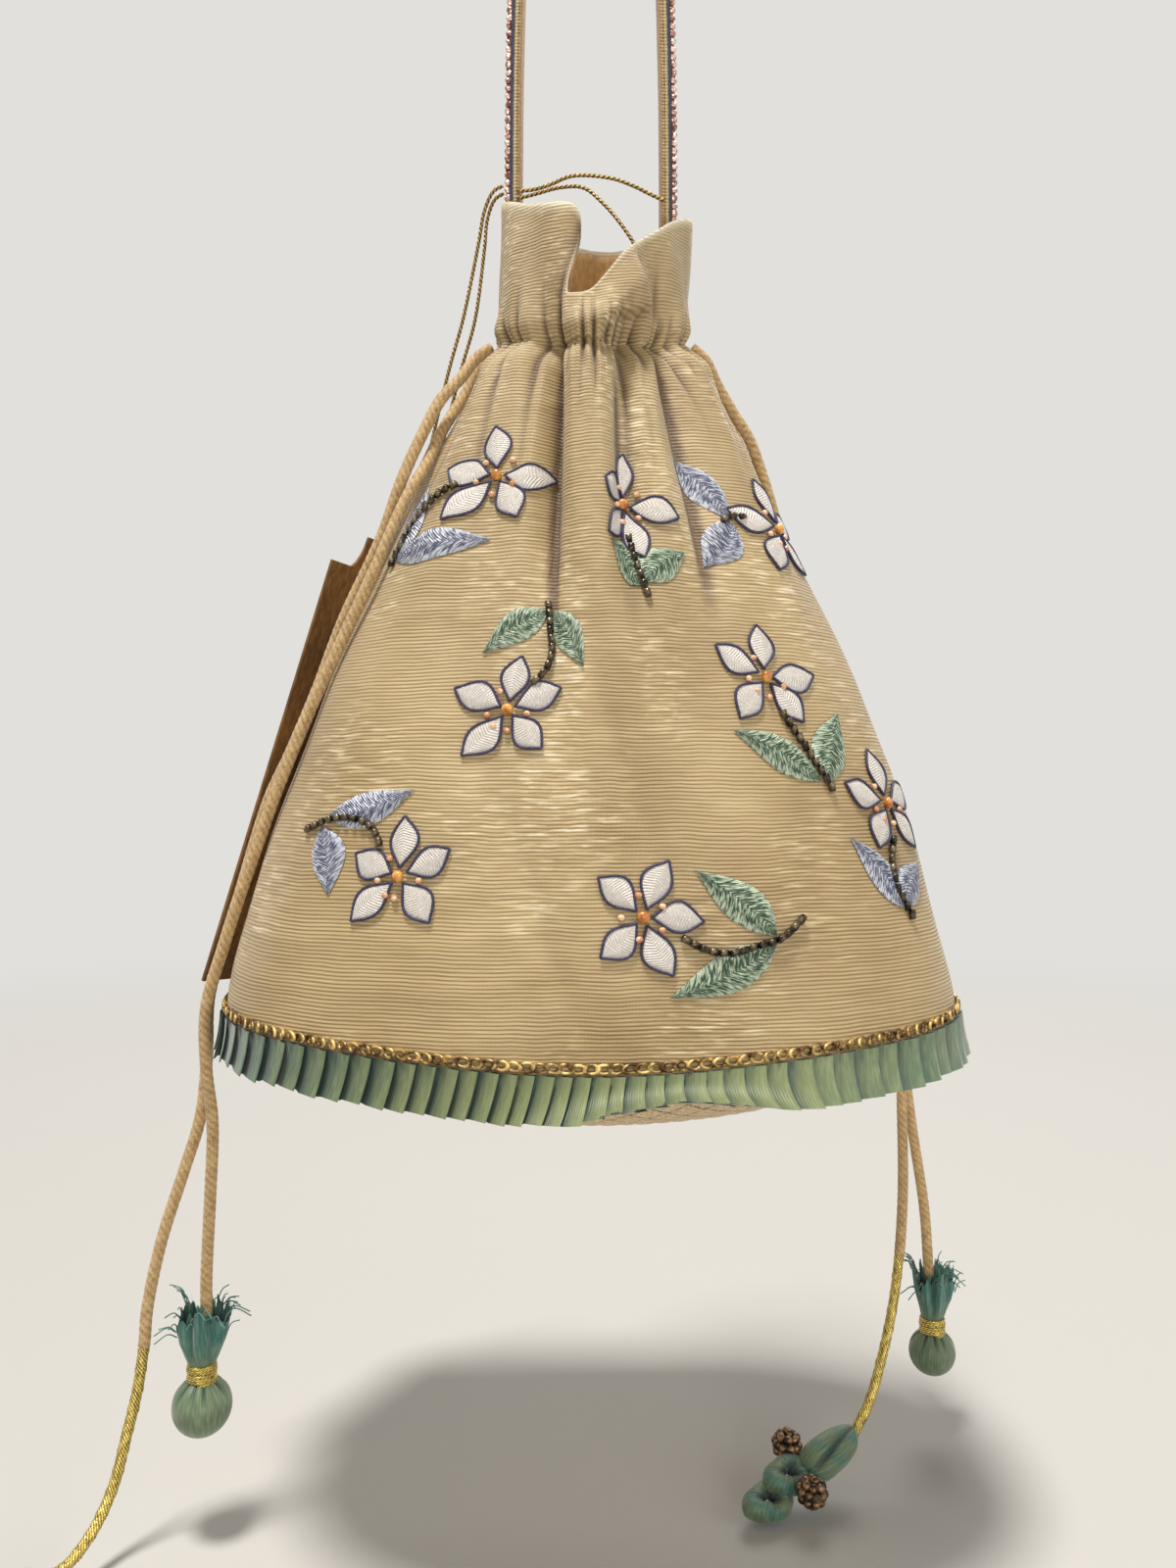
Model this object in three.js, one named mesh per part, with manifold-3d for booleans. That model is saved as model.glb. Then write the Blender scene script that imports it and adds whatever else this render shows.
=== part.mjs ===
// A silk drawstring pouch that hangs from its strap handle: a gathered shell with a floppy collar, a lining,
// a padded base, a pleated ruffle and gold trim at the rim, two drawstrings with tassels, a hang tag and
// embroidered flower sprigs. Millimetres, +Z up. The origin is the top of the handle, where the pouch hangs.
// The front faces -Y. An azimuth is measured from the front towards +X.

import * as THREE from 'three';
import Module from 'manifold-3d';

const wasm = await Module();
wasm.setup();

// Driving dimensions of the cloth
const RIM_HALF_WIDTH = 96;
const RIM_HALF_DEPTH = 60;
const NECK_HALF_WIDTH = 26;
const NECK_HALF_DEPTH = 22;
const BODY_HEIGHT = 176;
const COLLAR_HEIGHT = 40;
const HANDLE_RISE = 112;
const RIM_SAG = 7;
const NECK_SAG = 5;
const FLOOR_DEPTH = 470;
const BASE_DROP = 31;
const CLOTH = 1;
const LINING = 0.8;
const BASE_THICKNESS = 1.6;
const CLEARANCE = 0.35;
const SEAT_GAP = 0.46;

// Driving dimensions of the trimmings
const RUFFLE_LENGTH = 11;
const RUFFLE_DEPTH = 1.8;
const PLEAT_COUNT = 72;
const TRIM_HEIGHT = 2.5;
const TRIM_DEPTH = 1.4;
const LINK_COUNT = 60;
const STRAP_WIDTH = 12;
const STRAP_THICKNESS = 2.5;
const STRAP_ROOM = 1.3;
const STRAP_TUCK = 22;
const RIBBON_WIDTH = 10;
const RIBBON_THICKNESS = 1.3;
const CORD_DIAMETER = 3.2;
const WRAP_DIAMETER = 3;
const LOOP_DIAMETER = 2.4;
const STRING_DIAMETER = 1.1;
const LEFT_BALL_DIAMETER = 15.5;
const RIGHT_BALL_DIAMETER = 14;
const KNOT_LENGTH = 33;
const KNOT_HEIGHT = 23;
const BEAD_CLUSTER_DIAMETER = 10;
const TAG_LENGTH = 122;
const TAG_WIDTH = 60;
const TAG_THICKNESS = 0.8;
const TAG_HOLE = 3;
const FLOWER_RADIUS = 13.5;
const PETAL_COUNT = 5;
const STEM_WIDTH = 2;
const LEAF_WIDTH = 7;
const EMBROIDERY_LIFT = 1;
const SPRAY_THICKNESS = 0.5;
const FLOWER_THICKNESS = 0.8;

// Levels worked out from those sizes
const NECK_Z = -(HANDLE_RISE + COLLAR_HEIGHT);
const RIM_Z = NECK_Z - BODY_HEIGHT;
const BASE_Z = RIM_Z - BASE_DROP;
const FLOOR_Z = -FLOOR_DEPTH;
const RIBBON_OFFSET = STRAP_THICKNESS / 2 + CLEARANCE + RIBBON_THICKNESS / 2;
const RIBBON_FACE = RIBBON_OFFSET + RIBBON_THICKNESS / 2;
const STRAP_HALF_SPACING = NECK_HALF_WIDTH - CLOTH - LINING - STRAP_ROOM - RIBBON_FACE;

// How the cloth hangs: the swell of the sides, the squareness of the rim, and the gathers at the neck
const SWELL = 1.38;
const SQUARENESS_AT_RIM = 2.5;
const SQUARENESS_AT_NECK = 2;
const PUCKER_COUNT = 12;
const PUCKER_DEPTH = 1.3;
const PUCKER_REACH = 11;
const PINCH_DEPTH = 1.2;
const PINCH_REACH = 4;
const CHANNEL_REACH = 10;

// Folds that run down from the gather: azimuth at the neck, azimuth at the foot, half width (radians),
// depth (mm, minus for a valley) and the share of the body's height where the fold dies out
const FOLDS = [
  [-0.42, -0.19, 0.11, -5.0, 0.4],
  [-0.03, 0.02, 0.2, 2.6, 0.3],
  [0.4, 0.17, 0.1, -3.0, 0.45],
  [0.85, 0.62, 0.16, -3.6, 0.42],
  [1.25, 1.05, 0.16, 2.2, 0.45],
  [-1.05, -0.85, 0.2, 2.0, 0.4],
  [2.3, 2.2, 0.16, -3.2, 0.4],
  [2.75, 2.85, 0.2, 2.4, 0.35],
  [-2.85, -2.95, 0.14, -3.6, 0.4],
  [-2.35, -2.25, 0.18, 2.2, 0.45],
];
const FOLD_FULL_RADIUS = 45;

// The collar: the front rim dips in a spout whose left edge is steep and leans to the right
const SPOUT_AZIMUTH = -0.28;
const SPOUT_DIP = 23;
const SPOUT_LEFT = 0.1;
const SPOUT_RIGHT = 1.05;
const SPOUT_LEAN = 0.26;
const LEAN_SPREAD = 0.22;
const COLLAR_SLOPE = 4;
const COLLAR_FRONT_SAG = 6.5;
const COLLAR_FLARE = 1.5;
const COLLAR_WAVE = 1;

// Mesh steps
const AZIMUTH_STEPS = 48;
const BODY_ROWS = [0, 0.16, 0.34, 0.5, 0.63, 0.74, 0.83, 0.91, 0.97, 1];
const LINING_ROWS = [0.03, 0.5, 0.83];
const COLLAR_ROWS = [0.15, 0.4, 0.7, 1];

function wrapAngle(angle) {
  return angle - 2 * Math.PI * Math.round(angle / (2 * Math.PI));
}

function bell(distance, width) {
  return Math.exp(-((distance / width) ** 2));
}

function smooth(share) {
  const t = Math.min(Math.max(share, 0), 1);
  return t * t * (3 - 2 * t);
}

function ovalRadius(azimuth, halfWidth, halfDepth, squareness) {
  const across = Math.abs(Math.sin(azimuth) / halfWidth) ** squareness;
  const along = Math.abs(Math.cos(azimuth) / halfDepth) ** squareness;
  return (across + along) ** (-1 / squareness);
}

function rimHeight(azimuth) {
  return RIM_Z - RIM_SAG * Math.cos(azimuth) ** 2;
}

// The gather dips a little at the front
function neckHeight(azimuth) {
  return NECK_Z - NECK_SAG * Math.max(0, Math.cos(azimuth));
}

// Height of the collar's rim above the gather's sides
function collarTop(azimuth) {
  const fromSpout = wrapAngle(azimuth - SPOUT_AZIMUTH);
  const dip = bell(fromSpout, fromSpout < 0 ? SPOUT_LEFT : SPOUT_RIGHT);
  const slope = COLLAR_SLOPE * (1 - Math.max(0, -Math.sin(azimuth)));
  const sag = COLLAR_FRONT_SAG * Math.max(0, Math.cos(azimuth)) ** 2;
  return COLLAR_HEIGHT - slope - sag - SPOUT_DIP * dip;
}

function foldDepth(azimuth, share, radius) {
  let depth = 0;
  for (const [neck, foot, width, height, end] of FOLDS) {
    const rise = (share - end) / (1 - end);
    const centre = foot + (neck - foot) * rise;
    depth += height * smooth(rise) * bell(wrapAngle(azimuth - centre), width);
  }
  return depth * Math.min(1, radius / FOLD_FULL_RADIUS);
}

function gatherDepth(azimuth, height) {
  const above = height - neckHeight(azimuth);
  const pucker = -PUCKER_DEPTH * Math.cos(PUCKER_COUNT * azimuth) * bell(above, PUCKER_REACH);
  return pucker - PINCH_DEPTH * bell(above, PINCH_REACH);
}

function fromAxis(azimuth, radius, height) {
  return new THREE.Vector3(radius * Math.sin(azimuth), -radius * Math.cos(azimuth), height);
}

// A point of the cloth below the gather: share runs from 0 at the rim to 1 at the neck. With no relief, the
// folds and gathers are left out.
function bodyPoint(azimuth, share, offset, relief = 1) {
  const rim = rimHeight(azimuth);
  const height = rim + share * (neckHeight(azimuth) - rim);
  const spread = 1 - Math.min(share, 1) ** SWELL;
  const halfWidth = NECK_HALF_WIDTH + (RIM_HALF_WIDTH - NECK_HALF_WIDTH) * spread;
  const halfDepth = NECK_HALF_DEPTH + (RIM_HALF_DEPTH - NECK_HALF_DEPTH) * spread;
  const squareness = SQUARENESS_AT_RIM + (SQUARENESS_AT_NECK - SQUARENESS_AT_RIM) * share;
  const radius = ovalRadius(azimuth, halfWidth, halfDepth, squareness);
  const folds = foldDepth(azimuth, share, radius) + gatherDepth(azimuth, height);
  return fromAxis(azimuth, radius + relief * folds + offset, height);
}

// A point of the collar: share runs from 0 at the gather to 1 at the collar's own rim
function collarPoint(azimuth, share, offset, relief = 1) {
  const neck = neckHeight(azimuth);
  const height = neck + share * (NECK_Z + collarTop(azimuth) - neck);
  const lean = SPOUT_LEAN * share * bell(wrapAngle(azimuth - SPOUT_AZIMUTH + SPOUT_LEFT), LEAN_SPREAD);
  const turned = azimuth + lean;
  const halfWidth = NECK_HALF_WIDTH + COLLAR_FLARE * share;
  const halfDepth = NECK_HALF_DEPTH - COLLAR_FLARE * share;
  const wave = COLLAR_WAVE * share * Math.cos(3 * azimuth);
  const folds = foldDepth(azimuth, 1, halfDepth) * (1 - share) + gatherDepth(azimuth, height);
  const radius = ovalRadius(turned, halfWidth, halfDepth, SQUARENESS_AT_NECK) + wave;
  return fromAxis(turned, radius + relief * folds + offset, height);
}

// Joins rings of points, one after another, into one closed body. Endless rings close on themselves, and
// others end in caps. Each four-sided patch is split along its shorter diagonal.
function loft(rings, endless) {
  const sides = rings[0].length;
  const points = rings.flat();
  const spans = endless ? rings.length : rings.length - 1;
  const faces = [];
  for (let i = 0; i < spans; i += 1) {
    const near = i * sides;
    const far = ((i + 1) % rings.length) * sides;
    for (let j = 0; j < sides; j += 1) {
      const k = (j + 1) % sides;
      const [a, b, c, d] = [near + j, far + j, far + k, near + k];
      if (points[a].distanceTo(points[c]) < points[b].distanceTo(points[d])) {
        faces.push(a, b, c, a, c, d);
      } else {
        faces.push(a, b, d, b, c, d);
      }
    }
  }
  if (!endless) {
    const last = (rings.length - 1) * sides;
    for (let j = 1; j < sides - 1; j += 1) {
      faces.push(0, j, j + 1);
      faces.push(last, last + j + 1, last + j);
    }
  }
  return closedBody(points, faces);
}

function closedBody(points, faces) {
  let volume = 0;
  for (let f = 0; f < faces.length; f += 3) {
    const [a, b, c] = [points[faces[f]], points[faces[f + 1]], points[faces[f + 2]]];
    volume += a.dot(new THREE.Vector3().crossVectors(b, c));
  }
  const geometry = new THREE.BufferGeometry();
  const places = points.flatMap((point) => point.toArray());
  geometry.setAttribute('position', new THREE.Float32BufferAttribute(places, 3));
  geometry.setIndex(volume > 0 ? faces : faces.slice().reverse());
  geometry.computeVertexNormals();
  return geometry;
}

function toManifold(geometry) {
  const vertProperties = new Float32Array(geometry.getAttribute('position').array);
  const triVerts = new Uint32Array(geometry.getIndex().array);
  return new wasm.Manifold(new wasm.Mesh({ numProp: 3, vertProperties, triVerts }));
}

function largestPiece(body) {
  return body.decompose().reduce((best, piece) => (piece.volume() > best.volume() ? piece : best));
}

function fromManifold(body) {
  const mesh = body.getMesh();
  const geometry = new THREE.BufferGeometry();
  geometry.setAttribute('position', new THREE.BufferAttribute(mesh.vertProperties, 3));
  geometry.setIndex(new THREE.BufferAttribute(mesh.triVerts, 1));
  geometry.computeVertexNormals();
  return geometry;
}

const pouch = new THREE.Group();

function addPart(name, geometry, color, roughness, metalness) {
  const mesh = new THREE.Mesh(geometry, new THREE.MeshStandardMaterial({ color, roughness, metalness }));
  mesh.name = name;
  pouch.add(mesh);
  return mesh;
}

function azimuths(count) {
  return Array.from({ length: count }, (_, i) => (2 * Math.PI * i) / count);
}

// Shell: one wall, from the rim up through the gather to the collar's rim and back down inside
const shellRings = azimuths(AZIMUTH_STEPS).map((azimuth) => {
  const wall = (offset) => [
    ...BODY_ROWS.map((share) => bodyPoint(azimuth, share, offset)),
    ...COLLAR_ROWS.map((share) => collarPoint(azimuth, share, offset)),
  ];
  return [...wall(0), ...wall(-CLOTH).reverse()];
});
addPart('outer_shell', loft(shellRings, true), 0xc8af78, 0.55, 0);

// Lining: a bag that hangs clear of the shell's folds, with room for the drawstrings at the neck, and lies
// close to the collar
const FOLD_ROOM = 5.5;
const LINING_TOP_SHARE = 0.95;

function channelInset(azimuth, height) {
  const channel = (LOOP_DIAMETER + 3 * CLEARANCE) * bell(height - neckHeight(azimuth), CHANNEL_REACH);
  return CLOTH + SEAT_GAP + channel;
}

const liningRings = azimuths(AZIMUTH_STEPS).map((azimuth) => {
  const wall = (thickness) => {
    const body = LINING_ROWS.map((share) => bodyPoint(azimuth, share, -CLOTH - FOLD_ROOM - thickness, 0));
    const neck = channelInset(azimuth, neckHeight(azimuth));
    const collar = COLLAR_ROWS.map((row) => {
      const share = Math.min(row, LINING_TOP_SHARE);
      const inset = channelInset(azimuth, collarPoint(azimuth, share, 0).z);
      return collarPoint(azimuth, share, -inset - thickness);
    });
    return [...body, bodyPoint(azimuth, 1, -neck - thickness), ...collar];
  };
  return [...wall(0), ...wall(LINING).reverse()];
});
addPart('lining', loft(liningRings, true), 0x9a7038, 0.6, 0);

// Base: a shallow padded dish that closes the pouch under the shell's lower edge
const BASE_ROWS = [0.15, 0.5, 0.78, 0.93, 1];
const BASE_ROUNDNESS = 0.75;

function basePoint(azimuth, share, lift, inset) {
  const edge = bodyPoint(azimuth, 0, -inset);
  const fall = (1 - share * share) ** BASE_ROUNDNESS;
  const rim = edge.z - CLEARANCE;
  return new THREE.Vector3(edge.x * share, edge.y * share, rim + (BASE_Z - rim) * fall + lift * fall);
}

const baseOuter = BASE_ROWS.map((row) => azimuths(AZIMUTH_STEPS).map((a) => basePoint(a, row, 0, 0)));
const baseInner = BASE_ROWS.map((row) => {
  return azimuths(AZIMUTH_STEPS).map((a) => basePoint(a, row, BASE_THICKNESS, BASE_THICKNESS));
});
addPart('base_panel', loft([...baseOuter, ...baseInner.reverse()], false), 0xd2bd94, 0.6, 0);

// Ruffle: knife pleats that hang from the rim and flip up over a stretch of the front
const FLIP_AZIMUTH = 0.28;
const FLIP_SPREAD = 0.3;
const FLIP_TILT = 0.95;
const HANG_TILT = 0.12;
const PLEAT_LEAN = 0.012;
const RUFFLE_ROWS = [0, 0.5, 1];

function rufflePoint(azimuth, share, depth) {
  const edge = bodyPoint(azimuth, 0, CLEARANCE + depth);
  const tilt = HANG_TILT + FLIP_TILT * bell(wrapAngle(azimuth - FLIP_AZIMUTH), FLIP_SPREAD);
  const drop = share * RUFFLE_LENGTH;
  const outward = fromAxis(azimuth - PLEAT_LEAN * share, drop * Math.sin(tilt * share), 0);
  edge.z -= drop * Math.cos(tilt * share);
  return edge.add(outward);
}

const ruffleRings = azimuths(2 * PLEAT_COUNT).map((azimuth, i) => {
  const crest = i % 2 === 0 ? RUFFLE_DEPTH : RUFFLE_DEPTH / 2;
  const outside = RUFFLE_ROWS.map((share) => rufflePoint(azimuth, share, crest));
  return [...outside, rufflePoint(azimuth, 1, 0), rufflePoint(azimuth, 0, 0)];
});
addPart('pleated_ruffle', loft(ruffleRings, true), 0x5d8470, 0.6, 0);

// Trim: a chain of stitched links on the shell, just above the ruffle
const LINK_WAIST = 0.7;

const trimRings = azimuths(2 * LINK_COUNT).map((azimuth, i) => {
  const swell = i % 2 === 0 ? 1 : LINK_WAIST;
  const seat = bodyPoint(azimuth, 0, 0);
  const middle = CLEARANCE + 0.5 * TRIM_HEIGHT;
  const level = (rise) => (middle + rise * 0.5 * TRIM_HEIGHT * swell) / (neckHeight(azimuth) - seat.z);
  return [
    bodyPoint(azimuth, level(-1), SEAT_GAP),
    bodyPoint(azimuth, level(-0.6), SEAT_GAP + TRIM_DEPTH * swell),
    bodyPoint(azimuth, level(0.6), SEAT_GAP + TRIM_DEPTH * swell),
    bodyPoint(azimuth, level(1), SEAT_GAP),
  ];
});
addPart('gold_trim', loft(trimRings, true), 0x9a7430, 0.4, 0.6);

// Handle: a flat strap that arches from side to side, with a sequin ribbon along its outer face
const STRAP_TOP = -(RIBBON_THICKNESS + CLEARANCE + STRAP_THICKNESS / 2);
const STRAP_FOOT = -(HANDLE_RISE + STRAP_TUCK);
const HANDLE_STEPS = 44;

function handleCurve() {
  const half = [
    [1, STRAP_FOOT],
    [1, -0.9 * HANDLE_RISE],
    [0.98, -0.62 * HANDLE_RISE],
    [0.92, -0.36 * HANDLE_RISE],
    [0.74, -0.15 * HANDLE_RISE],
    [0.42, STRAP_TOP - 0.03 * HANDLE_RISE],
  ];
  const left = half.map(([side, z]) => new THREE.Vector3(-side * STRAP_HALF_SPACING, 0, z));
  const right = half.map(([side, z]) => new THREE.Vector3(side * STRAP_HALF_SPACING, 0, z)).reverse();
  return new THREE.CatmullRomCurve3([...left, new THREE.Vector3(0, 0, STRAP_TOP), ...right]);
}

function flatBand(curve, width, thickness, offset) {
  const rings = [];
  for (let i = 0; i <= HANDLE_STEPS; i += 1) {
    const centre = curve.getPointAt(i / HANDLE_STEPS);
    const along = curve.getTangentAt(i / HANDLE_STEPS);
    const outward = new THREE.Vector3(-along.z, 0, along.x);
    const corner = (side, face) => {
      const shift = offset + (face * thickness) / 2;
      return centre.clone().addScaledVector(outward, shift).add(new THREE.Vector3(0, (side * width) / 2, 0));
    };
    rings.push([corner(-1, -1), corner(1, -1), corner(1, 1), corner(-1, 1)]);
  }
  return loft(rings, false);
}

const handlePath = handleCurve();
addPart('handle_strap', flatBand(handlePath, STRAP_WIDTH, STRAP_THICKNESS, 0), 0x8a6a42, 0.7, 0);
const handleRibbon = flatBand(handlePath, RIBBON_WIDTH, RIBBON_THICKNESS, RIBBON_OFFSET);
addPart('handle_ribbon', handleRibbon, 0xbe8c78, 0.35, 0.4);

// Drawstring loops: each runs once round the casing between the shell and the lining
const LOOP_SIDES = 5;
const CASING_GAP = 0.63;

function loopRing(level) {
  const inset = -CLOTH - CASING_GAP - LOOP_DIAMETER / 2;
  const rings = azimuths(AZIMUTH_STEPS).map((azimuth) => {
    const share = 1 + level / BODY_HEIGHT;
    const centre = bodyPoint(azimuth, share, inset);
    const ring = [];
    for (let j = 0; j < LOOP_SIDES; j += 1) {
      const turn = (2 * Math.PI * j) / LOOP_SIDES;
      const radius = LOOP_DIAMETER / 2;
      ring.push(centre.clone().add(fromAxis(azimuth, radius * Math.cos(turn), radius * Math.sin(turn))));
    }
    return ring;
  });
  return loft(rings, true);
}

const LOOP_LEVEL = -(LOOP_DIAMETER + CLEARANCE);
addPart('left_drawstring_loop', loopRing(0), 0xbe965f, 0.7, 0);
addPart('right_drawstring_loop', loopRing(LOOP_LEVEL), 0xbe965f, 0.7, 0);

// Free cords: a round tube along points chosen by hand
function cordTube(points, diameter, steps) {
  const section = new THREE.Shape();
  for (let j = 0; j < 8; j += 1) {
    const turn = (Math.PI * j) / 4;
    const [x, y] = [(diameter / 2) * Math.cos(turn), (diameter / 2) * Math.sin(turn)];
    if (j === 0) {
      section.moveTo(x, y);
    } else {
      section.lineTo(x, y);
    }
  }
  section.closePath();
  const route = points.map((point) => new THREE.Vector3(...point));
  const extrudePath = new THREE.CatmullRomCurve3(route, false, 'centripetal');
  return new THREE.ExtrudeGeometry(section, { steps, bevelEnabled: false, extrudePath });
}

const LEFT_KNOT_CORD = [
  [-27, -3, -152], [-30.8, -4, -155], [-34.6, -6.3, -161], [-39.7, -8.7, -167.5], [-43.8, -10.6, -176],
  [-49.7, -12.4, -190], [-55.2, -12.4, -205.5], [-65.1, -12.3, -227], [-72.1, -12.3, -245.5],
  [-79.3, -12.4, -262.5], [-84.2, -12.4, -273], [-88.2, -12.4, -285], [-91.7, -12.4, -297],
  [-96.2, -12.5, -311.5], [-100.3, -12.5, -326], [-100.9, -12.5, -342], [-102.6, -12.6, -357.5],
  [-106.7, -12.7, -371], [-112.7, -13, -390], [-116.4, -13, -407.5], [-117.2, -13, -417],
];
const LEFT_KNOT_WRAP = [
  [-117.2, -13.1, -417.5], [-118.6, -14, -428.5], [-120.6, -16, -439], [-123, -19, -451],
  [-126, -25, -459], [-129.5, -33, -462.5], [-133, -41, -460],
];
const LEFT_BALL_CORD = [
  [-27, 3, -152], [-30.9, 2.8, -156.3], [-34.9, 0, -164.5], [-39.8, -5.8, -175], [-43.4, -11, -185.5],
  [-47.9, -15.7, -195.5], [-55.4, -18.4, -214], [-63.8, -18.1, -232], [-72.5, -18.1, -251],
  [-81, -18.1, -271.5], [-85.1, -18.1, -283], [-89.3, -18.2, -295], [-94.8, -18.2, -312],
  [-99.3, -18.3, -328], [-99.5, -17.3, -344], [-98.5, -15.5, -358], [-99.8, -13.3, -378],
  [-101.5, -11, -399], [-102, -10, -411], [-103, -10, -424.5],
];
const RIGHT_KNOT_CORD = [
  [27.2, -3, -152], [31, -2, -155], [34.5, 0, -161], [39.1, 2, -168], [43.7, 3.9, -174.5],
  [47.3, 5.8, -183], [51.8, 8.6, -196], [57, 15.3, -212], [63.1, 20.1, -230], [69.4, 24.9, -250],
  [74.9, 29.8, -270], [80.5, 33.8, -290], [86.3, 37.3, -310], [92.1, 39.9, -330], [95.1, 40.5, -350],
  [95.7, 40, -372], [95.4, 38, -394], [93.6, 35, -412],
];
const RIGHT_KNOT_WRAP = [
  [93.4, 34.7, -412.8], [91, 30.5, -422], [88.3, 26.5, -430], [84.5, 21, -438], [79.8, 16, -447.5],
  [74.5, 13, -455.2],
];
const RIGHT_BALL_CORD = [
  [27.2, 3, -152], [31, 4, -156.5], [34.6, 5.9, -163.5], [39.5, 8.3, -171], [44.1, 10.7, -180],
  [49.6, 14.4, -196], [54.3, 20.7, -212], [60, 25.5, -230], [65.9, 30.3, -250], [71, 35.2, -270],
  [76.1, 39.2, -290], [82.3, 43.3, -310], [91, 46, -330], [96.4, 46, -350], [100.2, 44.6, -378],
  [103.4, 43, -402], [104.6, 42, -424], [105.5, 42, -436],
];

addPart('left_knot_cord', cordTube(LEFT_KNOT_CORD, CORD_DIAMETER, 32), 0xbe965f, 0.7, 0);
addPart('left_ball_cord', cordTube(LEFT_BALL_CORD, CORD_DIAMETER, 32), 0xbe965f, 0.7, 0);
addPart('right_knot_cord', cordTube(RIGHT_KNOT_CORD, CORD_DIAMETER, 32), 0xbe965f, 0.7, 0);
addPart('right_ball_cord', cordTube(RIGHT_BALL_CORD, CORD_DIAMETER, 34), 0xbe965f, 0.7, 0);
addPart('left_knot_wrap', cordTube(LEFT_KNOT_WRAP, WRAP_DIAMETER, 12), 0xaa8c32, 0.4, 0.6);
addPart('right_knot_wrap', cordTube(RIGHT_KNOT_WRAP, WRAP_DIAMETER, 10), 0xaa8c32, 0.4, 0.6);

// Ball tassels: a gathered cloth ball with a frill above its binding, hung on the end of a cord
const FRILL_HEIGHT = 16.5;
const BALL_NECK_RADIUS = 3;
const BALL_NECK_LENGTH = 3;
const BINDING_RADIUS = 0.6;
const FRILL_WAIST = 0.75;
const FRILL_FLARE = 1.06;
const FRILL_LEVEL = FRILL_HEIGHT - 2;
const NECK_TOP = 0.5;
const NECK_FOOT = NECK_TOP - BALL_NECK_LENGTH;
const LATHE_SIDES = 12;
const BINDING_SIDES = 6;

function ballTassel(name, cordPoints, diameter) {
  const [x, y, z] = cordPoints[cordPoints.length - 1];
  const radius = diameter / 2;
  const holder = new THREE.Group();
  holder.position.set(x, y, z - CLEARANCE);
  pouch.add(holder);
  const low = NECK_FOOT - Math.sqrt(radius ** 2 - BALL_NECK_RADIUS ** 2);
  const profile = [new THREE.Vector2(0, low - radius)];
  for (const angle of [-60, -30, 0, 30]) {
    const turn = THREE.MathUtils.degToRad(angle);
    profile.push(new THREE.Vector2(radius * Math.cos(turn), low + radius * Math.sin(turn)));
  }
  profile.push(new THREE.Vector2(BALL_NECK_RADIUS, NECK_FOOT));
  profile.push(new THREE.Vector2(BALL_NECK_RADIUS, NECK_TOP));
  profile.push(new THREE.Vector2(FRILL_WAIST * radius, FRILL_HEIGHT / 2));
  profile.push(new THREE.Vector2(FRILL_FLARE * radius, FRILL_LEVEL));
  profile.push(new THREE.Vector2(FRILL_FLARE * radius - CLOTH, FRILL_LEVEL));
  profile.push(new THREE.Vector2(FRILL_WAIST * radius - CLOTH, FRILL_HEIGHT / 2));
  profile.push(new THREE.Vector2(CORD_DIAMETER / 2 + CLEARANCE, 0));
  profile.push(new THREE.Vector2(0, 0));
  const body = new THREE.LatheGeometry(profile, LATHE_SIDES).rotateX(Math.PI / 2);
  const tassel = addPart(`${name}_tassel`, body, 0x5f7d64, 0.65, 0);
  const ringRadius = BALL_NECK_RADIUS + CLEARANCE + BINDING_RADIUS;
  const ring = new THREE.TorusGeometry(ringRadius, BINDING_RADIUS, BINDING_SIDES, LATHE_SIDES);
  ring.translate(0, 0, (NECK_TOP + NECK_FOOT) / 2);
  const binding = addPart(`${name}_binding`, ring, 0xaa8c32, 0.4, 0.6);
  holder.add(tassel, binding);
}

ballTassel('left_ball', LEFT_BALL_CORD, LEFT_BALL_DIAMETER);
ballTassel('right_ball', RIGHT_BALL_CORD, RIGHT_BALL_DIAMETER);

// Knot tassels: a lobed knot of cloth with a cluster of beads on each side, lying at the end of a wrap
const KNOT_LOBES = 4;
const KNOT_ROWS = 7;
const KNOT_LOBE_DEPTH = 0.12;
const BEAD_LOBES = 6;
const BEAD_ROWS = 5;
const BEAD_LOBE_DEPTH = 0.1;
const POLE_SHARE = 0.06;

function lobedBody(length, height, lobes, lobeDepth, rows) {
  const rings = [];
  for (let i = 0; i < rows; i += 1) {
    const polar = Math.PI * (POLE_SHARE + ((1 - 2 * POLE_SHARE) * i) / (rows - 1));
    rings.push(azimuths(2 * lobes).map((turn) => {
      const lobe = 1 - lobeDepth + lobeDepth * Math.cos(lobes * turn);
      const across = (height / 2) * Math.sin(polar) * lobe;
      const along = (-length / 2) * Math.cos(polar);
      return new THREE.Vector3(along, across * Math.cos(turn), across * Math.sin(turn));
    }));
  }
  return loft(rings, false);
}

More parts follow.
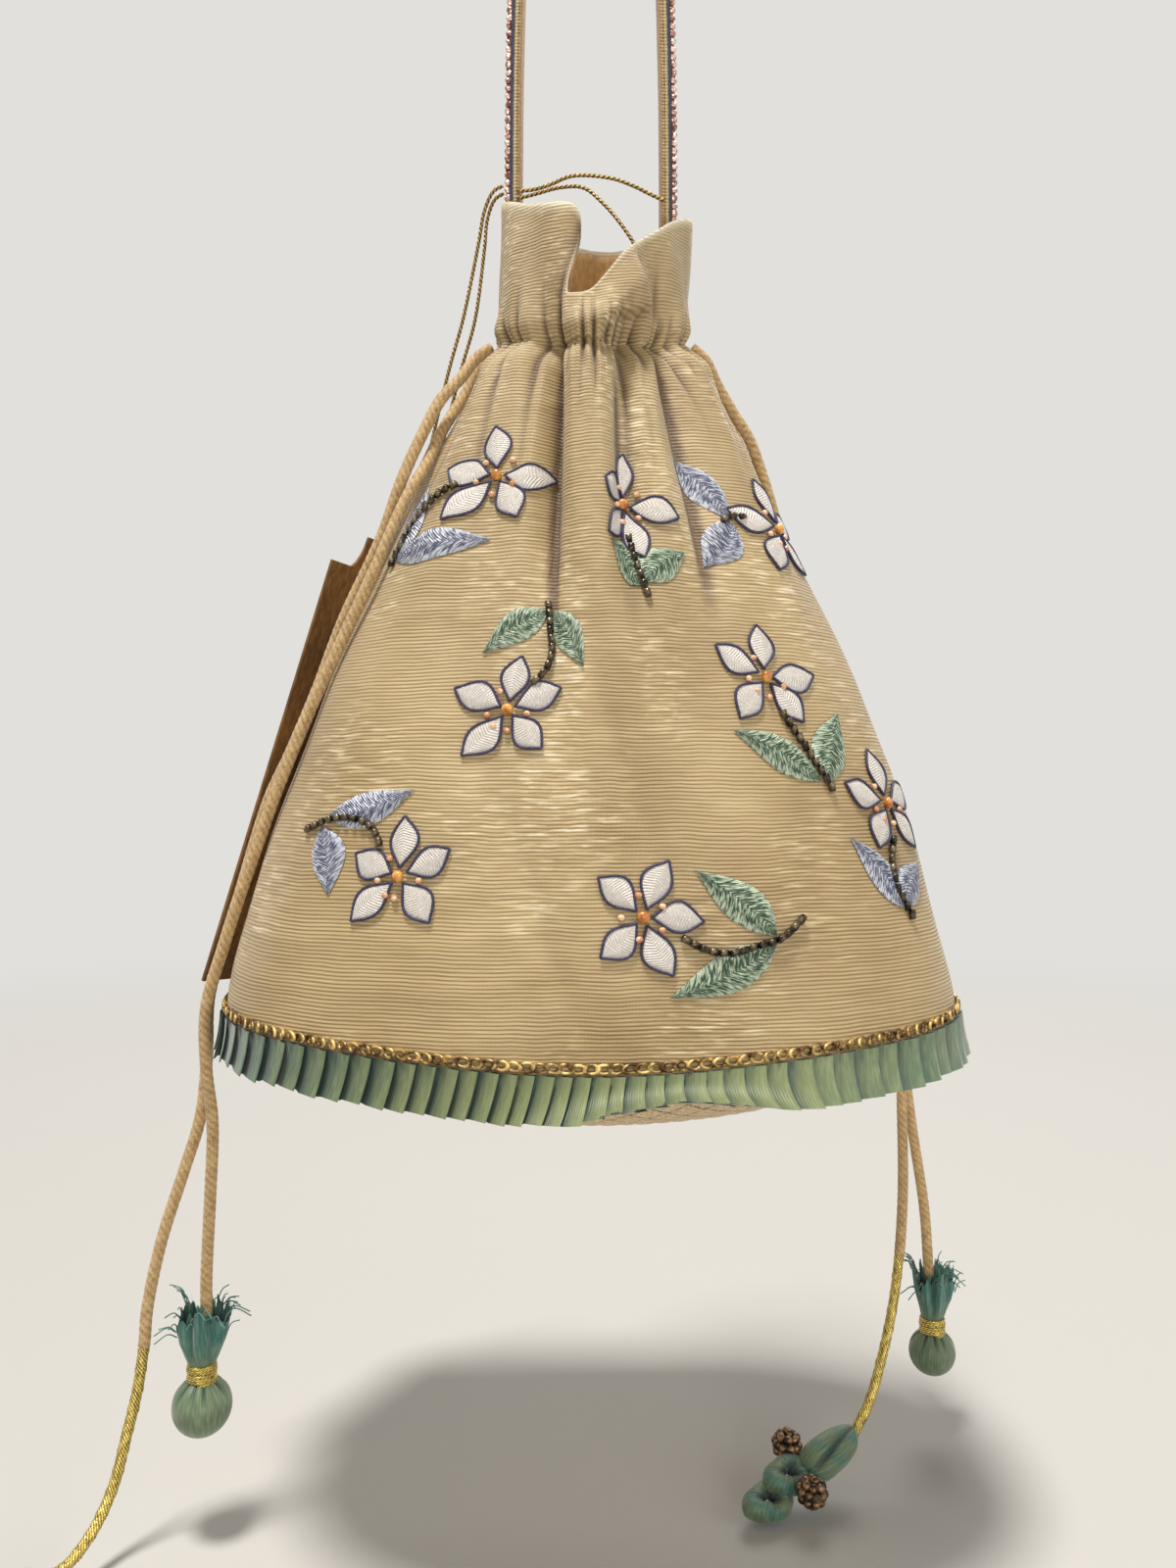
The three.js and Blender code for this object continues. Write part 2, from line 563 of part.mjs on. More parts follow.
function knotTassel(name, wrapPoints) {
  const last = new THREE.Vector3(...wrapPoints[wrapPoints.length - 1]);
  const before = new THREE.Vector3(...wrapPoints[wrapPoints.length - 2]);
  const along = last.clone().sub(before).setZ(0).normalize();
  const holder = new THREE.Group();
  holder.position.copy(last).addScaledVector(along, KNOT_LENGTH / 2 + CLEARANCE);
  holder.position.z = FLOOR_Z + KNOT_HEIGHT / 2;
  holder.rotation.z = Math.atan2(along.y, along.x);
  pouch.add(holder);
  const knot = lobedBody(KNOT_LENGTH, KNOT_HEIGHT, KNOT_LOBES, KNOT_LOBE_DEPTH, KNOT_ROWS);
  holder.add(addPart(`${name}_tassel`, knot, 0x5a8068, 0.65, 0));
  for (const [side, label] of [[-1, 'near'], [1, 'far']]) {
    const size = BEAD_CLUSTER_DIAMETER;
    const cluster = lobedBody(size, size, BEAD_LOBES, BEAD_LOBE_DEPTH, BEAD_ROWS);
    const reach = (KNOT_HEIGHT + BEAD_CLUSTER_DIAMETER) / 2 + CLEARANCE;
    cluster.translate(0, side * reach, 0);
    holder.add(addPart(`${name}_beads_${label}`, cluster, 0x4a3c28, 0.3, 0.5));
  }
}

knotTassel('left_knot', LEFT_KNOT_WRAP);
knotTassel('right_knot', RIGHT_KNOT_WRAP);

// Hang tag: a card with a stepped tab, lying flat against the left side of the pouch
const TAG_TOP_AZIMUTH = -1.86;
const TAG_FOOT_AZIMUTH = -1.87;
const TAG_TOP_SHARE = 0.655;
const TAG_FOOT_SHARE = 0.06;
const TAG_FORWARD = 0.46;
const TAB_WIDTH = 44;
const TAB_HEIGHT = 9;
const TAB_STEP = 3;

// The card's directions, and the seat where its inner face just clears the proudest cloth behind it
function tagFrame() {
  const line = (rise) => TAG_FOOT_AZIMUTH + rise * (TAG_TOP_AZIMUTH - TAG_FOOT_AZIMUTH);
  const cloth = (rise, turn) => {
    return bodyPoint(line(rise) + turn, TAG_FOOT_SHARE + rise * (TAG_TOP_SHARE - TAG_FOOT_SHARE), 0);
  };
  const up = cloth(1, 0).sub(cloth(0, 0)).normalize();
  const across = cloth(0.5, 0.1).sub(cloth(0.5, -0.1));
  across.addScaledVector(up, -across.dot(up)).normalize();
  const outward = new THREE.Vector3().crossVectors(across, up);
  let proudest = -Infinity;
  for (let rise = 0; rise <= 1; rise += 0.05) {
    for (let turn = -0.5; turn <= 0.5; turn += 0.05) {
      proudest = Math.max(proudest, cloth(rise, turn).dot(outward));
    }
  }
  const seat = cloth(1, 0);
  seat.addScaledVector(outward, proudest - seat.dot(outward) + CLEARANCE);
  return new THREE.Matrix4().makeBasis(across, up, outward).setPosition(seat);
}

function hangTag() {
  const [front, back] = [TAG_FORWARD * TAG_WIDTH, (TAG_FORWARD - 1) * TAG_WIDTH];
  const shoulder = (TAG_WIDTH - TAB_WIDTH) / 2;
  const card = new THREE.Shape();
  card.moveTo(front, 0);
  card.lineTo(front - shoulder, 0);
  card.quadraticCurveTo(front - shoulder - TAB_STEP, TAB_STEP, front - shoulder - TAB_STEP, TAB_HEIGHT);
  card.lineTo(back + shoulder + TAB_STEP, TAB_HEIGHT);
  card.quadraticCurveTo(back + shoulder + TAB_STEP, TAB_STEP, back + shoulder, 0);
  card.lineTo(back, 0);
  card.lineTo(back, -TAG_LENGTH);
  card.lineTo(front, -TAG_LENGTH);
  card.closePath();
  const hole = new THREE.Path();
  hole.absarc((front + back) / 2, TAB_HEIGHT / 2, TAG_HOLE / 2, 0, 2 * Math.PI);
  card.holes.push(hole);
  const press = { depth: TAG_THICKNESS, bevelEnabled: false, curveSegments: 4 };
  const geometry = new THREE.ExtrudeGeometry(card, press);
  return geometry.applyMatrix4(tagFrame());
}

addPart('hang_tag', hangTag(), 0x785528, 0.85, 0);

// Tag string: two strands from the left strap over the collar to the tag's hole, and two that tie the straps
const TAG_STRAND_OUTER = [
  [-23.9, -2, -107.5], [-26.5, -1.2, -108.6], [-29, 0.8, -112.5], [-31, 3, -121], [-35.4, 5.8, -140],
  [-39.5, 8.1, -153.1], [-43.5, 10.9, -167.1], [-48, 14.2, -184.1], [-52.5, 17.5, -199.1],
  [-55.1, 19.9, -206.6],
];
const TAG_STRAND_INNER = [
  [-23.9, 2, -107.5], [-26.5, 3, -108.8], [-28.6, 4.8, -113], [-29.6, 6, -121], [-32.4, 7.8, -140],
  [-36.5, 10.1, -153.1], [-40.5, 12.4, -167.1], [-45, 15.2, -184.1], [-48.7, 16.2, -199.1],
  [-52, 17.6, -207.6],
];
const STRAP_TIE_UPPER = [
  [-19.5, -6.95, -111.5], [-15, -8, -111.5], [-11, -9, -110.8], [-5, -10, -109], [5, -10, -109.5],
  [11, -9, -111], [16, -7.8, -112.8], [19.5, -6.95, -114],
];
const STRAP_TIE_LOWER = [
  [-19.5, -6.95, -113.4], [-15, -8.4, -113], [-8, -10, -112], [-2, -11, -112.6], [3, -12, -117],
  [8.5, -13, -124], [11.8, -13.2, -129.5], [13.2, -12.9, -134],
];

addPart('tag_strand_outer', cordTube(TAG_STRAND_OUTER, STRING_DIAMETER, 22), 0xb99646, 0.4, 0.6);
addPart('tag_strand_inner', cordTube(TAG_STRAND_INNER, STRING_DIAMETER, 22), 0xb99646, 0.4, 0.6);
addPart('strap_tie_upper', cordTube(STRAP_TIE_UPPER, STRING_DIAMETER, 14), 0xb99646, 0.4, 0.6);
addPart('strap_tie_lower', cordTube(STRAP_TIE_LOWER, STRING_DIAMETER, 14), 0xb99646, 0.4, 0.6);

// Embroidery: flat padded motifs that follow the cloth. A motif's own plane runs across and up from its
// centre.
const ARC_STEP = 0.02;
const PLATE_EYE = 0.05;
const PLATE_MIDDLE = 0.55;
const STEM_STEPS = 5;

function motifFrame(azimuth, share) {
  const centre = bodyPoint(azimuth, share, 0);
  const ahead = bodyPoint(azimuth + ARC_STEP, share, 0);
  const arc = ahead.distanceTo(bodyPoint(azimuth - ARC_STEP, share, 0)) / (2 * ARC_STEP);
  return (across, up, lift) => {
    const turned = azimuth + across / arc;
    const rim = rimHeight(turned);
    return bodyPoint(turned, (centre.z + up - rim) / (neckHeight(turned) - rim), lift);
  };
}

// A plate whose outline is seen whole from its centre, raised by a crown in the middle
function motifPlate(place, centre, outline, lift, thickness, crown) {
  const rings = [];
  const top = lift + thickness;
  const under = [[PLATE_EYE, lift], [PLATE_MIDDLE, lift], [1, lift]];
  const layers = [...under, [1, top], [PLATE_MIDDLE, top + crown / 2], [PLATE_EYE, top + crown]];
  for (const [share, height] of layers) {
    rings.push(outline.map(([x, y]) => {
      return place(centre[0] + share * (x - centre[0]), centre[1] + share * (y - centre[1]), height);
    }));
  }
  return loft(rings, false);
}

function flowerOutline(turn, radius) {
  const outline = [];
  const petal = [[0, 1], [0.2, 0.72], [0.5, 0.42], [0.8, 0.72]];
  for (let i = 0; i < PETAL_COUNT; i += 1) {
    for (const [swing, reach] of petal) {
      const angle = turn + (2 * Math.PI * (i + swing)) / PETAL_COUNT;
      outline.push([radius * reach * Math.cos(angle), radius * reach * Math.sin(angle)]);
    }
  }
  return outline;
}

function leafOutline(base, tip) {
  const along = [tip[0] - base[0], tip[1] - base[1]];
  const length = Math.hypot(...along);
  const side = [-along[1] / length, along[0] / length];
  const stations = [[0, 0.14], [0.35, 0.46], [0.7, 0.42], [1, 0.03]];
  const edge = (sign) => stations.map(([share, half]) => {
    const out = sign * half * LEAF_WIDTH;
    return [base[0] + share * along[0] + out * side[0], base[1] + share * along[1] + out * side[1]];
  });
  return [...edge(1), ...edge(-1).reverse()];
}

function stemBand(place, route) {
  const curve = new THREE.CatmullRomCurve3(route.map(([x, y]) => new THREE.Vector3(x, y, 0)));
  const rings = [];
  for (let i = 0; i <= STEM_STEPS; i += 1) {
    const point = curve.getPoint(i / STEM_STEPS);
    const along = curve.getTangent(i / STEM_STEPS);
    const corner = (side, height) => {
      const reach = (side * STEM_WIDTH) / 2;
      return place(point.x - along.y * reach, point.y + along.x * reach, height);
    };
    const top = EMBROIDERY_LIFT + SPRAY_THICKNESS;
    rings.push([corner(-1, EMBROIDERY_LIFT), corner(1, EMBROIDERY_LIFT), corner(1, top), corner(-1, top)]);
  }
  return loft(rings, false);
}

const GREEN = 0x6e9169;
const BLUE_GREY = 0x8c93a5;
const LEAF_INSET = 0.1;

// Each sprig: azimuth, share of the body's height, turn of the flower in degrees, leaf colour, stem route
// and the two leaves from base to tip, in millimetres across and up from the flower's centre
const SPRIGS = [
  [-0.669, 0.788, 104, BLUE_GREY, [[-9, -2], [-13, -4], [-17, -8.5], [-19, -14.5], [-20.5, -20]],
    [[[-20.5, -19.5], [-20, 1]], [[-20, -19.5], [2, -17]]]],
  [0.237, 0.75, 77, GREEN, [[0.5, -9], [1.5, -15], [3, -23]],
    [[[2.5, -21], [-9, -9]], [[2.5, -20], [13, -12]]]],
  [1.179, 0.71, 95, BLUE_GREY, [[-10.5, 2], [-13, 2], [-15.5, 1]],
    [[[-14, 1], [-22, 19]], [[-14, 1], [-24, -12]]]],
  [0.822, 0.495, 84, GREEN, [[2.1, -9], [5.4, -16.5], [9, -26.4]],
    [[[7.5, -25], [-12, -13]], [[8.5, -25.5], [18, -8]]]],
  [-0.405, 0.459, 85, GREEN, [[6.4, 7], [9, 10], [10, 14], [9, 19], [7.5, 25.5]],
    [[[7.5, 24], [-8, 13.5]], [[8.5, 24], [19, 10]]]],
  [-0.719, 0.231, 94, BLUE_GREY, [[-6.5, 8], [-9, 11], [-13.5, 13], [-20, 13], [-27, 10.5]],
    [[[-22, 13.5], [0, 20]], [[-23, 11], [-16.5, -5]]]],
  [0.203, 0.195, 66, GREEN, [[9, -5], [13.4, -7.5], [18, -8], [22.6, -6.5], [27, -5], [31.5, -1]],
    [[[26.5, -4.5], [12, 10.5]], [[26.5, -6], [5, -18]]]],
  [1.187, 0.31, 90, BLUE_GREY, [[-2, -9], [-4.5, -14], [-5.5, -20], [-3.5, -27]],
    [[[-4.5, -25.5], [-16, -8]], [[-4, -25], [7, -15]]]],
  [2.55, 0.6, 100, GREEN, [[2, -9], [5, -16], [8, -25]],
    [[[7, -24], [-10, -14]], [[7.5, -24.5], [18, -9]]]],
  [-2.75, 0.42, 70, BLUE_GREY, [[8, 6], [11, 11], [11, 17], [8, 25]],
    [[[8.5, 24], [-7, 14]], [[9, 24], [20, 11]]]],
  [2.85, 0.2, 90, BLUE_GREY, [[-8, 6], [-12, 11], [-18, 13], [-25, 11]],
    [[[-22, 13], [0, 20]], [[-22, 11.5], [-16, -5]]]],
  [-2.3, 0.18, 80, GREEN, [[9, -5], [14, -7.5], [21, -7], [28, -4]],
    [[[25, -5], [12, 10]], [[25, -6.5], [5, -18]]]],
];

SPRIGS.forEach(([azimuth, share, turn, leafColour, route, leaves], i) => {
  const place = motifFrame(azimuth, share);
  let spray = toManifold(stemBand(place, route));
  for (const [base, tip] of leaves) {
    const middle = [(tip[0] + base[0]) / 2, (tip[1] + base[1]) / 2];
    const lift = EMBROIDERY_LIFT + LEAF_INSET;
    const thickness = SPRAY_THICKNESS - 2 * LEAF_INSET;
    const blade = motifPlate(place, middle, leafOutline(base, tip), lift, thickness, 0);
    spray = spray.add(toManifold(blade));
  }
  const angle = THREE.MathUtils.degToRad(turn);
  const petals = flowerOutline(angle, FLOWER_RADIUS);
  const edge = FLOWER_THICKNESS / 2;
  const flower = motifPlate(place, [0, 0], petals, EMBROIDERY_LIFT, edge, FLOWER_THICKNESS - edge);
  const margin = flowerOutline(angle, FLOWER_RADIUS + 2 * CLEARANCE);
  const cutDepth = SPRAY_THICKNESS + 2 * CLOTH;
  const cutter = motifPlate(place, [0, 0], margin, EMBROIDERY_LIFT - CLOTH, cutDepth, 0);
  spray = largestPiece(spray.subtract(toManifold(cutter)));
  addPart(`flower_${i + 1}`, flower, 0xe1d7c8, 0.5, 0);
  addPart(`spray_${i + 1}`, fromManifold(spray), leafColour, 0.45, 0.3);
});

export default pouch;
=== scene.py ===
# %% [markdown]
# # A gathered silk pouch
# This lesson dresses a drawstring pouch that hangs from a strap handle: ribbed silk drawn in at the neck,
# a floppy collar, embroidered sprigs, a pleated ruffle with a gold chain stitch, and cords with tassels.
# The plain solids come first, as a fixed frame in metres. Each soft solid is then replaced by a finished
# piece that lies in the same place.

# %% Load the frame
import math

import bmesh
import bpy
import numpy as np
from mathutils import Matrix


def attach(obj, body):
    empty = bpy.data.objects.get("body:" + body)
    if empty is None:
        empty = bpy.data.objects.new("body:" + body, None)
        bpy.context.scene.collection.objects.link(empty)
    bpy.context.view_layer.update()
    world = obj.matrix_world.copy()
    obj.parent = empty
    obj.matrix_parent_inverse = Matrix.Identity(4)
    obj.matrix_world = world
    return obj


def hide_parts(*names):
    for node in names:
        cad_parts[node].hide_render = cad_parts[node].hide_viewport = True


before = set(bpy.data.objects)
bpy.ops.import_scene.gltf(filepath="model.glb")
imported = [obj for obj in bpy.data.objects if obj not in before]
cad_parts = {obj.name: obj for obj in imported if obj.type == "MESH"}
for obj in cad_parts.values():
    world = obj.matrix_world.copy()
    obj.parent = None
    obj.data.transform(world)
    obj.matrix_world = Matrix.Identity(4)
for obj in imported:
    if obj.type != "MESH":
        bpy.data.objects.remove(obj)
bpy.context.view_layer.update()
MM = 0.001
CLEARANCE = 0.35
print("nodes in the frame:", len(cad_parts))

# %% [markdown]
# ## The camera
# The photograph was taken with a level phone about 32 cm in front of the pouch, a little below its middle.
# A focal length of 27 mm on a 36 mm sensor gives that angle, and no tilt keeps upright lines upright.

# %% Place the camera
CAMERA_PLACE = (-0.8, -322, -270)
FOCAL_LENGTH = 27.05
SENSOR_WIDTH = 36
NEAREST_SEEN = 10

camera_data = bpy.data.cameras.new("photo_camera")
camera_data.lens = FOCAL_LENGTH
camera_data.sensor_width = SENSOR_WIDTH
camera_data.clip_start = NEAREST_SEEN * MM
camera = bpy.data.objects.new("photo_camera", camera_data)
camera.location = [side * MM for side in CAMERA_PLACE]
camera.rotation_euler = (math.pi / 2, 0, 0)
bpy.context.scene.collection.objects.link(camera)
bpy.context.scene.camera = camera
print("camera at", tuple(round(side, 3) for side in camera.location))

# %% [markdown]
# ## Writing materials as sums
# A shader is easier to read as an expression than as a list of links. `Wire` wraps one socket, so that
# `1 - mask * 0.5` adds its own Math nodes. Every other node comes from `make`, which sets the node's options
# first and then its inputs.


# %% A wrapper for shader sockets
class Wire:
    def __init__(self, tree, socket=None, material=None):
        self.tree = tree
        self.socket = socket
        self.material = material

    def make(self, kind, inputs=None, out=0, **options):
        node = self.tree.nodes.new(kind)
        for key, value in options.items():
            setattr(node, key, value)
        for key, value in (inputs or {}).items():
            if isinstance(value, Wire):
                self.tree.links.new(value.socket, node.inputs[key])
            else:
                node.inputs[key].default_value = value
        return Wire(self.tree, node.outputs[out] if len(node.outputs) else None)

    def outputs(self):
        return [Wire(self.tree, socket) for socket in self.socket.node.outputs]

    def math(self, operation, other=0.0, swap=False):
        pair = {0: other, 1: self} if swap else {0: self, 1: other}
        return self.make("ShaderNodeMath", pair, operation=operation)

    def __add__(self, other):
        return self.math("ADD", other)

    def __sub__(self, other):
        return self.math("SUBTRACT", other)

    def __rsub__(self, other):
        return self.math("SUBTRACT", other, swap=True)

    def __mul__(self, other):
        return self.math("MULTIPLY", other)

    def wave(self, period):
        return (self * (2 * math.pi / period)).math("SINE")

    def clamp(self, low, high):
        inputs = {"Value": self, "From Min": low, "From Max": high}
        return self.make("ShaderNodeMapRange", inputs, clamp=True, interpolation_type="SMOOTHSTEP")

    def noise(self, scale, detail, roughness=0.5, **options):
        inputs = {"Vector": self, "Scale": scale, "Detail": detail, "Roughness": roughness}
        return self.make("ShaderNodeTexNoise", inputs, **options)

    def mix(self, first, second):
        inputs = {0: self, 6: first, 7: second}
        return self.make("ShaderNodeMix", inputs, out=2, data_type="RGBA")

    def ramp(self, stops):
        colour = self.make("ShaderNodeValToRGB", {"Fac": self})
        elements = colour.socket.node.color_ramp.elements
        while len(elements) < len(stops):
            elements.new(0.5)
        for element, (place, shade) in zip(elements, stops):
            element.position = place
            element.color = shade
        return colour


print("socket wrapper ready")

# %% [markdown]
# ## Opening and closing a finish
# Each finish starts from an empty material and ends in one Principled shader. A colour is written as the
# red, green and blue that a picture shows, and `srgb` turns it into the linear values that a shader needs.
# Cloth finishes read the UV map, which is in millimetres, and hard ones read the object's own place.


# %% Finish helpers
def new_finish(name):
    material = bpy.data.materials.new(name)
    material.use_nodes = True
    material.node_tree.nodes.clear()
    return Wire(material.node_tree, material=material)


def close_finish(wire, colour, roughness, height=None, bump=0.0, distance=0.3, **constants):
    inputs = {"Base Color": colour, "Roughness": roughness}
    inputs.update({key.replace("_", " "): value for key, value in constants.items()})
    if height is not None:
        relief = {"Strength": bump, "Distance": distance * MM, "Height": height}
        inputs["Normal"] = wire.make("ShaderNodeBump", relief)
    shader = wire.make("ShaderNodeBsdfPrincipled", inputs)
    wire.make("ShaderNodeOutputMaterial", {"Surface": shader})
    return wire.material


def cloth_place(wire):
    place = wire.make("ShaderNodeUVMap", uv_map="cloth")
    across, along, _ = wire.make("ShaderNodeSeparateXYZ", {"Vector": place}).outputs()
    return place, across, along


def own_place(wire):
    return wire.make("ShaderNodeTexCoord", out="Object")


def painted(wire, name):
    return wire.make("ShaderNodeAttribute", out="Fac", attribute_name=name)


def srgb(*levels):
    shares = [level / 255 for level in levels]
    return (*(s / 12.92 if s < 0.04045 else ((s + 0.055) / 1.055) ** 2.4 for s in shares), 1)


print("finish helpers ready")

# %% [markdown]
# ## Building meshes from grids
# Most pieces here are sheets or tubes, so their points form a grid. `grids_piece` turns one or more such
# grids, in millimetres, into a mesh in metres with a UV map that is also in millimetres. A weave can then
# follow the cloth at its true size. `settle` welds points that meet, hangs the piece under the frame's root
# and hides the solids that it replaces.

# %% Mesh helpers
WELD_DISTANCE = 0.002


def join_axes(*parts):
    return np.stack(np.broadcast_arrays(*parts), axis=-1)


def grid_faces(rows, columns, around):
    index = np.arange(rows * columns).reshape(rows, columns)
    left = index if around else index[:, :-1]
    right = np.roll(index, -1, axis=1) if around else index[:, 1:]
    return np.stack([left[:-1], right[:-1], right[1:], left[1:]], axis=-1).reshape(-1, 4)


def mesh_piece(name, points, faces, material, uv=None, smooth=True):
    mesh = bpy.data.meshes.new(name)
    mesh.from_pydata((np.asarray(points) * MM).tolist(), [], [tuple(face) for face in faces])
    if uv is not None:
        layer = mesh.uv_layers.new(name="cloth")
        layer.data.foreach_set("uv", np.asarray(uv, dtype=np.float32).reshape(-1))
    mesh.polygons.foreach_set("use_smooth", [smooth] * len(mesh.polygons))
    mesh.materials.append(material)
    piece = bpy.data.objects.new(name, mesh)
    bpy.context.scene.collection.objects.link(piece)
    return piece


def grids_piece(name, grids, material):
    points, faces, corners, start = [], [], [], 0
    for grid, uv, around in grids:
        rows, columns = grid.shape[:2]
        points.append(grid.reshape(-1, 3))
        faces.append(grid_faces(rows, columns, around) + start)
        corners.append(uv.reshape(-1, 2)[grid_faces(rows, columns + int(around), False).reshape(-1)])
        start += rows * columns
    faces = np.concatenate(faces).tolist()
    return mesh_piece(name, np.concatenate(points), faces, material, np.concatenate(corners))


def grid_piece(name, grid, uv, material):
    return grids_piece(name, [(grid, uv, True)], material)


def paint(piece, **values):
    for name, value in values.items():
        stored = piece.data.attributes.new(name, "FLOAT", "POINT")
        stored.data.foreach_set("value", np.asarray(value, dtype=np.float32).reshape(-1))


def thicken(piece, thickness):
    layer = piece.modifiers.new("cloth thickness", "SOLIDIFY")
    layer.thickness = thickness * MM
    layer.offset = -1


def area_of(piece):
    return round(sum(face.area for face in piece.data.polygons), 4)


def settle(piece, slot, *nodes):
    work = bmesh.new()
    work.from_mesh(piece.data)
    bmesh.ops.remove_doubles(work, verts=work.verts, dist=WELD_DISTANCE * MM)
    work.to_mesh(piece.data)
    work.free()
    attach(piece, "root")
    if nodes:
        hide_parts(*nodes)
    return piece


print("mesh helpers ready")

# %% [markdown]
# ## Cords along a route
# A twisted cord is a tube whose section has four soft lobes, and the lobes turn as they go along. A curve
# with a bevel would give a smooth hose, so the tube is built ring by ring. The route is the same list of
# points as in the solids, joined by a smooth centripetal curve.

# %% Route and tube helpers
SAMPLES_PER_SPAN = 24
WOUND_SHARE = 0.68


def between(t, start, end, first, last):
    return (end - t) / (end - start) * first + (t - start) / (end - start) * last


def smooth_route(points, spacing):
    control = np.asarray(points, dtype=float)
    control = np.vstack([2 * control[0] - control[1], control, 2 * control[-1] - control[-2]])
    steps = np.maximum(np.linalg.norm(np.diff(control, axis=0), axis=1), 1e-6) ** 0.5
    knots = np.concatenate([[0], np.cumsum(steps)])
    samples = []
    for i in range(1, len(control) - 2):
        t0, t1, t2, t3 = knots[i - 1:i + 3]
        t = np.linspace(t1, t2, SAMPLES_PER_SPAN, endpoint=False)[:, None]
        a1 = between(t, t0, t1, control[i - 1], control[i])
        a2 = between(t, t1, t2, control[i], control[i + 1])
        a3 = between(t, t2, t3, control[i + 1], control[i + 2])
        samples.append(between(t, t1, t2, between(t, t0, t2, a1, a2), between(t, t1, t3, a2, a3)))
    samples = np.vstack(samples + [control[-2:-1]])
    arc = np.concatenate([[0], np.cumsum(np.linalg.norm(np.diff(samples, axis=0), axis=1))])
    even = np.linspace(0, arc[-1], max(int(arc[-1] / spacing), 3) + 1)
    return np.stack([np.interp(even, arc, samples[:, k]) for k in range(3)], axis=1), even


def carry_frames(route):
    along = np.gradient(route, axis=0)
    along /= np.linalg.norm(along, axis=1)[:, None]
    side = np.cross(along[0], (0.3, 0.9, 0.2))
    sides = []
    for direction in along:
        side = side - direction * side.dot(direction)
        side = side / np.linalg.norm(side)
        sides.append(side)
    return np.array(sides), np.cross(along, np.array(sides))


def cap_tube(grid, uv):
    first = np.broadcast_to(grid[0].mean(axis=0), grid[:1].shape)
    last = np.broadcast_to(grid[-1].mean(axis=0), grid[:1].shape)
    return np.concatenate([first, grid, last]), np.concatenate([uv[:1], uv, uv[-1:]])


def tube_grid(route, arc, radius, sides, lobes=0, lobe_depth=0.0, pitch=1.0):
    first, second = carry_frames(route)
    angle = np.linspace(0, 2 * np.pi, sides, endpoint=False)
    turn = angle[None, :] - 2 * np.pi * arc[:, None] / pitch
    radius = np.broadcast_to(np.asarray(radius, dtype=float), arc.shape)[:, None]
    size = radius * (1 - lobe_depth + lobe_depth * np.abs(np.cos(lobes * turn / 2)))
    grid = route[:, None] + size[..., None] * (
        np.cos(angle)[None, :, None] * first[:, None] + np.sin(angle)[None, :, None] * second[:, None])
    around = np.linspace(0, 2 * np.pi, sides + 1)
    return cap_tube(grid, join_axes(around[None, :] * radius, arc[:, None]))


def cord_piece(name, points, diameter, material, twist, sides, spacing, wound=0):
    lobes, lobe_depth, pitch = twist
    route, arc = smooth_route(points, spacing)
    radius = diameter / 2 * np.where(arc > arc[-1] - wound, WOUND_SHARE, 1)
    grid, uv = tube_grid(route, arc, radius, sides, lobes, lobe_depth, pitch * diameter)
    return grid_piece(name, grid, uv, material), route * MM, arc[-1] * MM


print("cord helpers ready")

# %% [markdown]
# ## Thread finishes
# Cotton cord, gold thread and the tag's string differ in colour and shine, but all are twisted. Fine noise
# stretched along the cord gives the fibres, and a sine that climbs round the cord gives the plies, both as
# relief and as painted shade in the grooves between them.


# %% Cord finishes
def thread_finish(name, dark, light, fibre, roughness, ply=None, **constants):
    wire = new_finish(name)
    place, across, along = cloth_place(wire)
    stretch = wire.make("ShaderNodeMapping", {"Vector": place, "Scale": (fibre, fibre * 0.4, 1)})
    height = stretch.noise(1.0, 3.0)
    shade = place.noise(0.35, 2.0) * 0.5 + height * 0.9 - 0.2
    if ply:
        girth, strands, pitch, contrast = ply
        strand = (across * (strands / girth) + along * (1 / pitch)).wave(1)
        # The plies' grooves are painted darker: painted shade, beside their relief.
        shade = shade + strand * contrast
        height = height + strand * (2 * contrast)
    colour = shade.clamp(0.15, 0.85).mix(dark, light)
    return close_finish(wire, colour, roughness, height, 0.6, **constants)


CORD_DIAMETER = 3.2
WINDING_DIAMETER = 2.9
STRING_DIAMETER = 1.1

CORD_FINISH = thread_finish("twisted_cotton", srgb(146, 112, 68), srgb(226, 194, 140), 3.0, 0.75,
                            ply=(math.pi * CORD_DIAMETER, 4, 2.1, 0.08), Sheen_Weight=0.3)
GOLD_FINISH = thread_finish("gold_thread", srgb(92, 68, 20), srgb(252, 226, 124), 1.3, 0.3,
                            ply=(math.pi * WINDING_DIAMETER, 9, 1.0, 0.18), Metallic=0.6)
STRING_FINISH = thread_finish("tag_string", srgb(72, 50, 20), srgb(204, 172, 104), 4.0, 0.4,
                              ply=(math.pi * STRING_DIAMETER, 2, 1.3, 0.3), Metallic=0.35)
EDGE_FINISH = thread_finish("navy_cord", srgb(24, 20, 36), srgb(70, 62, 98), 3.0, 0.6)
print("thread finishes:", CORD_FINISH.name, GOLD_FINISH.name, STRING_FINISH.name, EDGE_FINISH.name)

# %% [markdown]
# ## The drawstring ends
# Each side of the gathered neck lets out two cord ends that slide down the shoulder and hang free below the
# rim. They are limp twisted cotton, so they follow the cloth and then drop straight. The lower stretch of one
# end on each side is wound with gold thread. That winding is a fine ridged sleeve over the same cord.

# %% Lay the four drawstring ends
CORD_TWIST, CORD_SIDES, CORD_SPACING = (4, 0.1, 2.6), 20, 0.8
WINDING_SPACING, WINDING_SIDES = 0.25, 36
WINDING_STRANDS, WINDING_RIDGE, WINDING_PITCH = 9, 0.14, 9.0
WINDING_UNEVEN = 0.07

